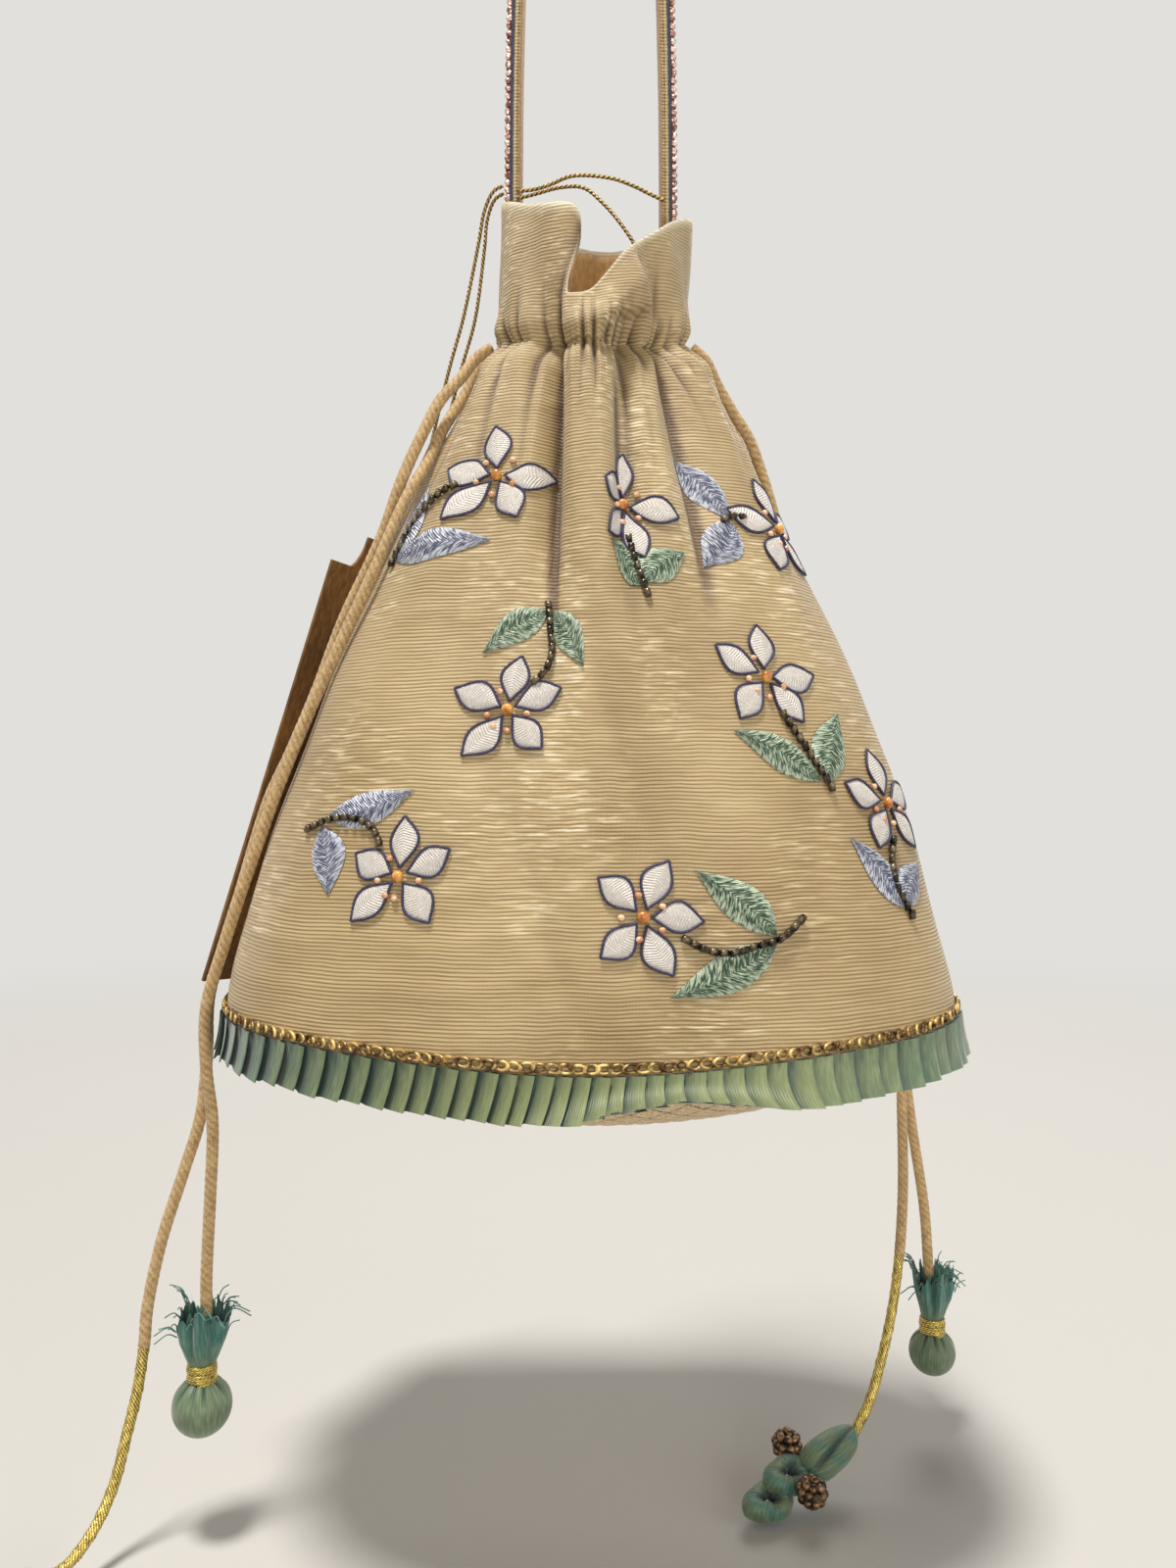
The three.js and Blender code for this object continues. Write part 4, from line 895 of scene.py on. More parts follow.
def loop_shape(wire):
    ring = wire.make("GeometryNodeCurvePrimitiveCircle", {"Resolution": 14, "Radius": 0.36})
    yarn = wire.make("GeometryNodeCurvePrimitiveCircle", {"Resolution": 6, "Radius": 0.14})
    return wire.make("GeometryNodeCurveToMesh", {"Curve": ring, "Profile Curve": yarn})


def ball_shape(wire):
    return wire.make("GeometryNodeMeshUVSphere", {"Segments": 10, "Rings": 7, "Radius": 0.5})


def disc_shape(wire):
    sizes = {"Vertices": 12, "Radius Top": 0.3, "Radius Bottom": 0.5, "Depth": 0.5}
    return wire.make("GeometryNodeMeshCone", sizes)


def rod_shape(wire):
    sizes = {"Vertices": 8, "Side Segments": 1, "Radius": 0.5, "Depth": 1.0}
    rod = wire.make("GeometryNodeMeshCylinder", sizes)
    return wire.make("GeometryNodeTransform", {"Geometry": rod, "Rotation": (0, math.pi / 2, 0)})


print("line and shape helpers ready")


# %% String shapes along lines
def string_along(name, lines, material, shape, spacing, size, tilt=0.0, seed=7):
    piece = line_piece(name, lines)
    tree = bpy.data.node_groups.new(name, "GeometryNodeTree")
    settings = {"Spacing": spacing * MM, "Size": tuple(s * MM for s in size), "Tilt": tilt, "Seed": seed}
    kinds = {"Line": "Geometry", "Spacing": "Float", "Size": "Vector", "Tilt": "Float", "Seed": "Int"}
    for key, kind in kinds.items():
        tree.interface.new_socket(key, in_out="INPUT", socket_type=f"NodeSocket{kind}")
    tree.interface.new_socket("Pieces", in_out="OUTPUT", socket_type="NodeSocketGeometry")
    wire = Wire(tree)
    value = {inlet.socket.name: inlet for inlet in wire.make("NodeGroupInput").outputs()}

    def scaled(vector, factor):
        return wire.make("ShaderNodeVectorMath", {0: vector, "Scale": factor}, operation="SCALE")

    curve = wire.make("GeometryNodeMeshToCurve", {"Mesh": value["Line"]})
    steps = {"Curve": curve, "Length": value["Spacing"]}
    even = wire.make("GeometryNodeResampleCurve", steps, mode="LENGTH")
    normal = wire.make("GeometryNodeInputNamedAttribute", {"Name": "outward"}, data_type="FLOAT_VECTOR")
    axes = {0: normal, 1: wire.make("GeometryNodeInputTangent")}
    facing = wire.make("FunctionNodeAxesToRotation", axes, primary_axis="Z", secondary_axis="X")
    limits = {"Min": scaled((-1, -1, -1), value["Tilt"]), "Max": scaled((1, 1, 1), value["Tilt"])}
    shake = wire.make("FunctionNodeRandomValue", {**limits, "Seed": value["Seed"]}, data_type="FLOAT_VECTOR")
    lean = wire.make("FunctionNodeEulerToRotation", {0: shake})
    turned = wire.make("FunctionNodeRotateRotation", {0: facing, 1: lean}, rotation_space="LOCAL")
    placed = wire.make("GeometryNodeInstanceOnPoints", {
        "Points": even, "Instance": shape(wire), "Rotation": turned, "Scale": value["Size"]})
    real = wire.make("GeometryNodeRealizeInstances", {"Geometry": placed})
    soft = wire.make("GeometryNodeSetShadeSmooth", {"Geometry": real})
    done = wire.make("GeometryNodeSetMaterial", {"Geometry": soft, "Material": material})
    wire.make("NodeGroupOutput", {0: done})

    modifier = piece.modifiers.new("string along", "NODES")
    modifier.node_group = tree
    for item in tree.interface.items_tree:
        if item.in_out == "INPUT" and item.name in settings:
            modifier[item.identifier] = settings[item.name]
    kept = bpy.data.meshes.new_from_object(piece.evaluated_get(bpy.context.evaluated_depsgraph_get()))
    piece.modifiers.clear()
    piece.data = kept
    kept.materials.clear()
    kept.materials.append(material)
    print(name, len(kept.polygons), "faces")
    return piece


print("stringing helper ready")

# %% [markdown]
# ## The gold chain stitch
# A line of antique gold chain stitch hides the seam where the ruffle is sewn to the rim. Each link is a small
# closed loop of thread, and its end lies on the next one. The loops tilt a little, as hand stitches do.


# %% Stitch the trim
def metal_finish(name, dark, light, roughness, metallic):
    wire = new_finish(name)
    spot = own_place(wire).noise(420.0, 3.0)
    colour = spot.clamp(0.35, 0.65).mix(dark, light)
    return close_finish(wire, colour, spot * 0.3 + roughness - 0.15, spot, 0.25, 0.2, Metallic=metallic)


TRIM_FINISH = metal_finish("antique_gold", srgb(84, 56, 22), srgb(232, 198, 126), 0.36, 0.6)
TRIM_HEIGHT = 2.5
TRIM_SEAT = 0.55
LINK_PITCH = 2.9
LINK_SIZE = (4.6, 2.7, 3.0)
LINK_TILT = 0.16
TRIM_POINTS = 480

trim_azimuth = around_axis(TRIM_POINTS)
trim_share = (CLEARANCE + TRIM_HEIGHT / 2) / (neck_height(trim_azimuth) - rim_height(trim_azimuth))
trim_seat = body_point(trim_azimuth, trim_share, TRIM_SEAT)
trim_out = body_point(trim_azimuth, trim_share, TRIM_SEAT + 1) - trim_seat
links = string_along("trim_links", [(trim_seat, trim_out, True)], TRIM_FINISH, loop_shape, LINK_PITCH,
                     LINK_SIZE, LINK_TILT)
settle(links, "gold_stitching", "gold_trim")

# %% [markdown]
# ## The ruffle's silk
# The ruffle and the tassels are shot silk: teal threads one way and sage threads the other, so the colour
# changes with the fold. Two values stored on the cloth choose between them: `sage`, and a second value for
# the hidden part of a fold, which is painted dark as painted shade.

# %% Shot silk finish
WEFT_PITCH = 0.7


def shot_silk_finish(name, teal, sage, sheen):
    wire = new_finish(name)
    place, across, along = cloth_place(wire)
    grain = wire.make("ShaderNodeCombineXYZ", {"X": across * 1.3, "Y": along * 0.25}).noise(1.0, 3.0)
    tone = (painted(wire, "sage") + place.noise(0.06, 2.0) * 0.7 - 0.35).clamp(0.1, 0.9)
    face = tone.mix(teal, sage)
    bright = grain.clamp(0.35, 0.7).mix(face, sheen)
    # Painted shade: the hidden part of each fold is painted dark teal.
    colour = painted(wire, "tuck").mix((grain * 0.35 + 0.1).mix(face, bright), srgb(18, 48, 46))
    return close_finish(wire, colour, 0.5, across.wave(WEFT_PITCH) * 0.25 + grain, 0.35, Sheen_Weight=0.3)


RUFFLE_FINISH = shot_silk_finish("pleated_silk", srgb(38, 90, 76), srgb(120, 129, 84), srgb(160, 172, 126))
TASSEL_FINISH = shot_silk_finish("tassel_silk", srgb(38, 104, 98), srgb(92, 110, 78), srgb(160, 182, 146))
print("shot silks:", RUFFLE_FINISH.name, TASSEL_FINISH.name)

# %% [markdown]
# ## The pleated ruffle
# A narrow strip of that silk is folded into knife pleats and sewn under the trim. Every pleat is the same
# zigzag: a flat face, a folded edge and a strip tucked behind the next face. At the front the ruffle flips
# up, so the open ends of the pleats show. The edge is raw and a little uneven.

# %% Make the ruffle
RUFFLE_LENGTH = 11
PLEATS = 96
PLEAT_PITCH = 5.4
FLIP_AZIMUTH, FLIP_SPREAD, FLIP_TILT = 0.3, 0.38, 1.1
HANG_TILT = 0.12
PLEAT_LEAN = 0.035
LEAN_RADIUS = 60
# Each point of a pleat: its place across the pleat, how far it stands out, and how deep it is tucked,
# which sets how dark it is painted as painted shade
PLEAT_SECTION = np.array([
    (0.0, 0.30, 0.9), (0.25, 0.62, 0.5), (0.55, 1.0, 0.16), (0.85, 1.42, 0), (0.98, 1.62, 0),
    (1.0, 1.45, 0.5), (0.92, 1.12, 0.9), (0.72, 0.82, 1), (0.55, 0.5, 1), (0.5, 0.3, 1), (0.62, 0.14, 1),
    (0.85, 0.16, 0.95)])

place_across, stand, tuck = PLEAT_SECTION.T
pleat = np.arange(PLEATS)[:, None]
uneven = 0.12 * np.sin(pleat * 2.4) + 0.08 * np.sin(pleat * 5.1 + 1)
ruffle_azimuth = ((pleat + place_across + uneven * 0.5 - PLEATS / 2) * (2 * np.pi / PLEATS)).reshape(-1)
ruffle_depth = (stand * (1 + uneven)).reshape(-1)
fringe = np.repeat(0.25 * np.sin(pleat * 1.9) + 0.2 * np.sin(pleat * 4.7), len(PLEAT_SECTION))
share = np.linspace(0, 1, 9)[:, None]
flip = bell(wrapped(ruffle_azimuth - FLIP_AZIMUTH), FLIP_SPREAD)
tilt = (HANG_TILT + FLIP_TILT * flip) * share
drop = share * (RUFFLE_LENGTH - 0.3 + fringe)
depth = (ruffle_depth * (0.75 + 0.35 * share))[..., None]
slide = (-PLEAT_LEAN * LEAN_RADIUS * share)[..., None]
ruffle_grid = (body_point(ruffle_azimuth, 0.0, CLEARANCE) + from_axis(ruffle_azimuth, 1.0, 0.0) * depth
               + from_axis(ruffle_azimuth - PLEAT_LEAN * share, drop * np.sin(tilt), -drop * np.cos(tilt))
               + from_axis(ruffle_azimuth + np.pi / 2, 1.0, 0.0) * slide)
developed = np.cumsum(np.hypot(np.diff(place_across, prepend=0) * PLEAT_PITCH, np.diff(stand, prepend=0.3)))
ruffle_u = (pleat * (developed[-1] + 1) + developed).reshape(-1)
ruffle_uv = join_axes(np.append(ruffle_u, ruffle_u[-1] + 1)[None, :], share * RUFFLE_LENGTH)
ruffle = grid_piece("pleated_ruffle_silk", ruffle_grid[::-1], ruffle_uv[::-1], RUFFLE_FINISH)
sage = np.clip(0.25 + 0.75 * bell(wrapped(ruffle_azimuth - 0.1), 0.95), 0, 1)
paint(ruffle, sage=np.tile(sage, len(share)), tuck=np.tile(tuck, PLEATS * len(share)))
settle(ruffle, "ruffle_cloth", "pleated_ruffle")
print("ruffle area", area_of(ruffle), "square metres")

# %% [markdown]
# ## The embroidered sprigs
# Each sprig is a white flower with five satin-stitched petals edged in dark cord, an orange bead in the
# middle, small amber beads between the petals, a stem of bugle beads and two leaves in shiny thread. A motif
# is drawn flat, in millimetres from the flower's centre, and then laid on the cloth, so that it bends with
# every fold. One sprig is half turned away into a deep fold, so its left half is squeezed.

# %% The sprigs and the way they lie on the cloth
FOLDED_SPRIG, FOLDED_SQUEEZE = (0.237, 0.75), 0.42
GREEN, BLUE = "green", "blue"
# Each sprig: azimuth, share of the height, the petals' angles, the leaves' colour, its stem and its leaves
SPRIGS = [
    (-0.669, 0.788, (104, 167, 230, 302, 358), BLUE,
     [(-9, -2), (-13, -4), (-17, -8.5), (-19, -14.5), (-20.5, -20)],
     [((-20.5, -19.5), (-20, 1)), ((-20, -19.5), (2, -17))]),
    (0.237, 0.75, (82, 152, 216, 285, 345), GREEN, [(0.5, -9), (1.5, -15), (3, -23)],
     [((2.5, -21), (-9, -9)), ((2.5, -20), (13, -12))]),
    (1.179, 0.71, (95, 164, 242, 310, 22), BLUE, [(-10.5, 2), (-13, 2), (-15.5, 1)],
     [((-14, 1), (-22, 19)), ((-14, 1), (-24, -12))]),
    (0.822, 0.495, (84, 146, 227, 303, 4), GREEN, [(2.1, -9), (5.4, -16.5), (9, -26.4)],
     [((7.5, -25), (-12, -13)), ((8.5, -25.5), (18, -8))]),
    (-0.405, 0.459, (80, 158, 231, 315, 21), GREEN, [(6.4, 7), (9, 10), (10, 14), (9, 19), (7.5, 25.5)],
     [((7.5, 24), (-8, 13.5)), ((8.5, 24), (19, 10))]),
    (-0.719, 0.231, (94, 157, 228, 310, 29), BLUE, [(-6.5, 8), (-9, 11), (-13.5, 13), (-20, 13), (-27, 10.5)],
     [((-22, 13.5), (0, 20)), ((-23, 11), (-16.5, -5))]),
    (0.203, 0.195, (62, 139, 222, 295, 355), GREEN,
     [(9, -5), (13.4, -7.5), (18, -8), (22.6, -6.5), (27, -5), (31.5, -1)],
     [((26.5, -4.5), (12, 10.5)), ((26.5, -6), (5, -18))]),
    (1.187, 0.31, (90, 159, 236, 305, 18), BLUE, [(-2, -9), (-4.5, -14), (-5.5, -20), (-3.5, -27)],
     [((-4.5, -25.5), (-16, -8)), ((-4, -25), (7, -15))]),
    (2.55, 0.6, (100, 170, 246, 315, 27), GREEN, [(2, -9), (5, -16), (8, -25)],
     [((7, -24), (-10, -14)), ((7.5, -24.5), (18, -9))]),
    (-2.75, 0.42, (70, 146, 213, 288, 2), BLUE, [(8, 6), (11, 11), (11, 17), (8, 25)],
     [((8.5, 24), (-7, 14)), ((9, 24), (20, 11))]),
    (2.85, 0.2, (90, 164, 235, 309, 15), BLUE, [(-8, 6), (-12, 11), (-18, 13), (-25, 11)],
     [((-22, 13), (0, 20)), ((-22, 11.5), (-16, -5))]),
    (-2.3, 0.18, (80, 149, 226, 297, 10), GREEN, [(9, -5), (14, -7.5), (21, -7), (28, -4)],
     [((25, -5), (12, 10)), ((25, -6.5), (5, -18))])]


def lay_on_cloth(azimuth, share):
    low = rim_height(azimuth)
    centre_z = low + share * (neck_height(azimuth) - low)
    arc = np.linalg.norm(body_point(azimuth + 0.02, share) - body_point(azimuth - 0.02, share)) / 0.04
    squeeze = FOLDED_SQUEEZE if (azimuth, share) == FOLDED_SPRIG else 1.0

    def lay(across, up, lift):
        turned = azimuth + across * np.where(np.asarray(across) < 0, squeeze, 1.0) / arc
        foot = rim_height(turned)
        return body_point(turned, (centre_z + up - foot) / (neck_height(turned) - foot), lift, detail=1.0)
    return lay


print(len(SPRIGS), "sprigs")

# %% [markdown]
# ## Satin stitch and glass
# In satin stitch the threads lie side by side across a petal or slanted from a leaf's middle, and each one
# shines on its own. Noise that is stretched along the threads gives that, with small rows as relief. The
# beads are glass with a clear coat, or dark bronze for the stems.

# %% Thread and bead finishes of the sprigs
THREAD_PITCH = 0.62


def satin_finish(name, dark, light, edge, slant, sparkle, **constants):
    wire = new_finish(name)
    _, across, along = cloth_place(wire)
    off = across.math("ABSOLUTE")
    lean = along + off * slant
    stitch = wire.make("ShaderNodeCombineXYZ", {"X": across * 0.4, "Y": lean * 1.5}).noise(1.0, 3.0, 0.65)
    fleck = wire.make("ShaderNodeCombineXYZ", {"X": across * 0.8, "Y": lean * 1.9}).noise(1.0, 2.0)
    rim = (off + stitch * 1.6 - 0.8).clamp(1.2, 3.4)
    shade = (stitch * 0.9 + fleck * sparkle + rim * edge - 0.35 - sparkle * 0.3).clamp(0.24, 0.72)
    relief = stitch + lean.wave(THREAD_PITCH) * 0.35 + fleck * 0.5
    return close_finish(wire, shade.mix(dark, light), 0.46, relief, 0.75, 0.4, **constants)


def glass_finish(name, dark, light):
    wire = new_finish(name)
    colour = own_place(wire).noise(380.0, 1.0).clamp(0.35, 0.65).mix(dark, light)
    return close_finish(wire, colour, 0.2, Coat_Weight=0.6, Coat_Roughness=0.08)


PETAL_FINISH = satin_finish("white_satin", srgb(216, 208, 198), srgb(255, 254, 250), 0.05, 0.35, 0.9,
                            Sheen_Weight=0.3)
LEAF_TINTS = {
    GREEN: ("green_thread", srgb(46, 76, 50), srgb(204, 218, 192)),
    BLUE: ("blue_grey_thread", srgb(80, 84, 110), srgb(218, 222, 232))}
LEAF_FINISH = {tint: satin_finish(*thread, 0.2, 0.9, 1.4, Metallic=0.15)
               for tint, thread in LEAF_TINTS.items()}
AMBER_FINISH = glass_finish("amber_glass", srgb(176, 92, 24), srgb(238, 168, 72))
PEACH_FINISH = glass_finish("peach_glass", srgb(206, 134, 88), srgb(246, 206, 168))
BUGLE_FINISH = metal_finish("bronze_bugle", srgb(28, 24, 20), srgb(120, 106, 84), 0.3, 0.6)
print("sprig finishes:", PETAL_FINISH.name, AMBER_FINISH.name, BUGLE_FINISH.name)

# %% [markdown]
# ## Petals and their edges
# Petals and leaves are the same kind of blade: pointed at both ends, a little bowed, and domed where the
# padding under the stitches lifts them. The outline of each petal is then followed by a thin dark cord.

# %% Sew the petals and their edges
FLOWER_RADIUS = 13.6
FLOWER_EYE = 1.9
BEAD_RING = 5.0
BLADE_CROWN = 0.75
# Each kind of blade: width, lift from the cloth, points along, points across, and where it is widest
PETAL = (7.0, 0.35, 16, 9, 1.1)
LEAF = (8.4, 0.3, 26, 11, 0.8)
EDGE_DIAMETER, EDGE_LIFT, EDGE_SPACING = 0.72, 0.62, 0.5
EDGE_SIDES, EDGE_TWIST = 7, (2, 0.25, 2.0)
CENTRE_SIZE, AMBER_SIZE = (3.0, 3.0, 2.4), (1.8, 1.5, 1.5)
# Longer than the short line under a single bead, so that only one bead is set on it
LONE_PITCH = 5.0


def blade(base, tip, bow, lay, width, lift, along_steps, across_steps, full):
    base, axis = np.asarray(base, float), np.subtract(tip, base).astype(float)
    length = np.hypot(*axis)
    side = np.array((-axis[1], axis[0])) / length
    along = np.linspace(0, 1, along_steps)[:, None]
    across = np.linspace(1, -1, across_steps)[None, :]
    half = width / 2 * np.sin(np.pi * along ** full) ** 1.1
    sway = bow * np.sin(np.pi * along)
    flat = base + along[..., None] * axis + (across * half + sway)[..., None] * side
    dome = lift + BLADE_CROWN * (1 - across ** 2) ** 0.7 * np.sin(np.pi * along) ** 0.35
    grid = lay(flat[..., 0], flat[..., 1], dome)
    rim = np.concatenate([flat[:, 0], flat[::-1, -1]])
    return (grid, join_axes(across * 3.5, along * length), False), rim


def edge_tube(rim, lay):
    loop = lay(rim[:, 0], rim[:, 1], EDGE_LIFT)
    turn = len(loop) // 2
    loop = np.concatenate([loop[:turn - 1], loop[turn:-1], loop[:1]])
    route, arc = smooth_route(loop, EDGE_SPACING)
    return (*tube_grid(route, arc, EDGE_DIAMETER / 2, EDGE_SIDES, *EDGE_TWIST), True)


def bead_spot(lay, across, up, lift):
    seat = lay(across + np.array((0, 0.02)), up + np.zeros(2), lift)
    return seat, lay(across, up, 2.0) - lay(across, up, 1.0) + np.zeros((2, 3)), False


petals, edges, centres, ambers = [], [], [], []
for azimuth, share, angles, *_ in SPRIGS:
    lay = lay_on_cloth(azimuth, share)
    for k, angle in enumerate(angles):
        ray = np.array((math.cos(math.radians(angle)), math.sin(math.radians(angle))))
        reach = FLOWER_RADIUS * (1 + 0.05 * math.sin(2.3 * k + 5 * azimuth))
        bow = 0.9 * math.cos(math.pi * k + azimuth * 3)
        petal, rim = blade(FLOWER_EYE * ray, reach * ray, bow, lay, *PETAL)
        petals.append(petal)
        edges.append(edge_tube(rim, lay))
        following = angles[(k + 1) % len(angles)]
        gap = math.radians((angle + following + (360 if following < angle or k == 4 else 0)) / 2)
        ambers.append(bead_spot(lay, BEAD_RING * math.cos(gap), BEAD_RING * math.sin(gap), 0.7))
    centres.append(bead_spot(lay, 0.0, 0.0, 1.0))

flower_nodes = [f"flower_{k + 1}" for k in range(len(SPRIGS))]
settle(grids_piece("satin_petals", petals, PETAL_FINISH), "white_satin_stitch", *flower_nodes)
settle(grids_piece("petal_edges", edges, EDGE_FINISH), "white_satin_stitch")
for name, spots, finish, size in (("flower_centres", centres, AMBER_FINISH, CENTRE_SIZE),
                                  ("amber_beads", ambers, PEACH_FINISH, AMBER_SIZE)):
    settle(string_along(name, spots, finish, ball_shape, LONE_PITCH, size), "white_satin_stitch")
print(len(petals), "petals")

# %% [markdown]
# ## Stems and leaves
# The stem is a string of short bugle beads, sewn end to end along a curve. The two leaves start near its end
# and bow apart. They are the same blade as the petals, but longer and with slanted stitches.

# %% Sew the stems and leaves
STEM_LIFT = 0.95
LEAF_BOW = 1.2
BUGLE_PITCH, BUGLE_SIZE, BUGLE_TILT = 2.25, (2.0, 1.7, 1.7), 0.08

stems, leaves = [], {GREEN: [], BLUE: []}
for azimuth, share, _, tint, route, blades in SPRIGS:
    lay = lay_on_cloth(azimuth, share)
    x, up, _ = smooth_route([(*spot, 0) for spot in route], 0.5)[0].T
    seat = lay(x, up, STEM_LIFT)
    stems.append((seat, lay(x, up, STEM_LIFT + 1) - seat, False))
    for (leaf_base, leaf_tip), bow in zip(blades, (-LEAF_BOW, LEAF_BOW)):
        leaves[tint].append(blade(leaf_base, leaf_tip, bow, lay, *LEAF)[0])

for tint, slot in ((GREEN, "green_thread"), (BLUE, "blue_grey_thread")):
    nodes = [f"spray_{k + 1}" for k, sprig in enumerate(SPRIGS) if sprig[3] == tint]
    settle(grids_piece(f"{tint}_leaves", leaves[tint], LEAF_FINISH[tint]), slot, *nodes)
    print(tint, "leaves", len(leaves[tint]))
bugles = string_along("stem_beads", stems, BUGLE_FINISH, rod_shape, BUGLE_PITCH, BUGLE_SIZE, BUGLE_TILT)
settle(bugles, "bronze_beads")

# %% [markdown]
# ## The ball tassels
# Two cord ends carry a small stuffed ball. It is a square of the ruffle's silk, drawn round some stuffing and
# bound with gold thread. The spare cloth stands up above the binding as a ragged frill with loose threads.
# One turned profile gives ball and frill, with creases that are deep at the binding and fade over the ball.

# %% Make the ball tassels
LEFT_BALL_DIAMETER, RIGHT_BALL_DIAMETER = 15.5, 14
BALL_NECK_RADIUS, BALL_NECK_TOP, BALL_NECK_FOOT = 3, 0.5, -2.5
FRILL_RISE, FRILL_FLARE, FRILL_WAVE = 14.2, (0.55, 0.72, 0.8), 0.75
INNER_FRILL, INNER_TURN, INNER_RISE = 0.62, 9, 0.9
FRILL_THREADS, THREAD_RADIUS, THREAD_SIDES, THREAD_SEED = 46, 0.17, 5, 5
THREAD_SPREAD, THREAD_REACH = 0.5, (1.5, 4.5)
SLITS = (-2.6, -1.7, -0.75, -0.1, 0.4, 1.3, 2.3)
SLIT_WIDTH, SLIT_DEPTH = 0.1, 0.2
BALL_ROWS, NECK_ROWS, FRILL_ROWS, BALL_COLUMNS = 34, 5, 26, 96
BINDING_RADIUS, BINDING_TURNS, BINDING_FOOT, BINDING_HEIGHT = 3.45, 6.2, -3.3, 4.6
BINDING_THREAD_RADIUS, BINDING_SIDES, BINDING_TWIST = 0.5, 8, (2, 0.2, 2.0)


def loose_threads(edge, middle):
    chance = np.random.default_rng(THREAD_SEED)
    strands = []
    for _ in range(FRILL_THREADS):
        start = edge[chance.integers(len(edge))]
        out = (start - middle) * (1, 1, 0)
        out = out / np.linalg.norm(out) + chance.normal(0, THREAD_SPREAD, 3)
        reach = chance.uniform(*THREAD_REACH)
        bend = start + reach * (0.4 * out + (0, 0, 0.35))
        route, arc = smooth_route([start - (0, 0, 0.8), bend, start + reach * (out + (0, 0, 0.3))], 0.6)
        strands.append((*tube_grid(route, arc, THREAD_RADIUS, THREAD_SIDES), True))
    return strands


def ball_binding(side, cord_end):
    coil = np.linspace(0, 2 * np.pi * BINDING_TURNS, 210)
    radius = BINDING_RADIUS + 0.12 * np.sin(coil * 1.7)
    level = BINDING_FOOT + BINDING_HEIGHT * coil / coil[-1]
    route, arc = smooth_route(cord_end + from_axis(coil, radius, level), 0.5)
    tube = tube_grid(route, arc, BINDING_THREAD_RADIUS, BINDING_SIDES, *BINDING_TWIST)
    binding = grid_piece(f"{side}_ball_winding", *tube, GOLD_FINISH)
    settle(binding, "gold_thread", f"{side}_ball_binding")
    return binding


def ball_tassel(side, cord_end, diameter):
    cord_end, radius = np.array(cord_end, float), diameter / 2
    centre = BALL_NECK_FOOT - math.sqrt(radius ** 2 - BALL_NECK_RADIUS ** 2)
    turn = np.linspace(0, 2 * np.pi, BALL_COLUMNS, endpoint=False)[None, :]
    polar = np.linspace(-np.pi / 2, math.asin((BALL_NECK_FOOT - centre) / radius), BALL_ROWS)
    neck = np.linspace(BALL_NECK_FOOT + 0.2, BALL_NECK_TOP, NECK_ROWS)
    rise = np.linspace(0.06, 1, FRILL_ROWS)
    level = [centre + radius * np.sin(polar), neck, BALL_NECK_TOP + rise * FRILL_RISE]
    level = np.concatenate(level)[:, None]
    flare = np.interp(rise, [0, 0.25, 0.55, 1], [BALL_NECK_RADIUS, *(radius * np.array(FRILL_FLARE))])
    narrow = np.full(NECK_ROWS, BALL_NECK_RADIUS - 0.1)
    reach = np.concatenate([radius * np.cos(polar), narrow, flare])[:, None]
    crease = 0.15 - sum(bell(wrapped(turn - slit), SLIT_WIDTH) for slit in SLITS)
    near_neck = smooth((np.sin(polar) - 0.15) / 0.75)
    near_neck = np.concatenate([near_neck, np.ones(NECK_ROWS), np.zeros(FRILL_ROWS)])[:, None]
    ruck = np.concatenate([np.zeros(BALL_ROWS + NECK_ROWS), rise])[:, None]
    wave = 1.5 * np.sin(5 * turn + 1.2 * np.sin(2 * turn)) + 0.7 * np.sin(11 * turn + 1)
    size = reach * (1 + SLIT_DEPTH * near_neck * crease) + ruck * wave * FRILL_WAVE
    ragged = ruck ** 3 * (1.9 * np.sin(3 * turn + 1) + 1.3 * np.sin(8 * turn) + 0.9 * np.sin(23 * turn))
    local = from_axis(turn, size, level + ragged - CLEARANCE)
    uv = join_axes(np.linspace(0, 2 * np.pi * radius, BALL_COLUMNS + 1)[None, :], level)

    frill = slice(BALL_ROWS + NECK_ROWS, None)
    inner = np.roll(local[frill], INNER_TURN, axis=1) * (INNER_FRILL, INNER_FRILL, 1) + (0, 0, INNER_RISE)
    strands = [(inner + cord_end, uv[frill], True)] + loose_threads(local[-1] + cord_end, cord_end)
    ball = grids_piece(f"{side}_ball_cloth", [(local + cord_end, uv, True)] + strands, TASSEL_FINISH)
    sage = np.broadcast_to(np.where(level > 0, 0.75 - 0.75 * smooth(ruck * 1.2), 0.75), size.shape)
    # Painted shade: the cloth is painted dark in the creases at the binding and between the frill's waves.
    tuck = np.clip(-1.3 * near_neck * crease, 0, 0.9) + np.clip(-0.3 * ruck * wave, 0, 0.5)
    spare = sum(strand.shape[0] * strand.shape[1] for strand, _, _ in strands)
    paint(ball, sage=np.append(sage, np.full(spare, 0.15)), tuck=np.append(tuck, np.zeros(spare)))
    settle(ball, "tassel_cloth", f"{side}_ball_tassel")
    print(side, "ball tassel", diameter, "mm with", FRILL_THREADS, "loose threads")
    return [ball, ball_binding(side, cord_end)]


carried = {("left", "ball"): ball_tassel("left", LEFT_BALL_CORD[-1], LEFT_BALL_DIAMETER),
           ("right", "ball"): ball_tassel("right", RIGHT_BALL_CORD[-1], RIGHT_BALL_DIAMETER)}

# %% [markdown]
# ## The knot tassels
# The other two ends finish in a soft knot of stuffed silk that lies on the table: a bud at the cord, then two
# coiled loops, with a cluster of bronze beads on each side of the waist. The bud and the loops are simple
# rounded bodies with creases. The beads are strung on a spiral over a small ball.

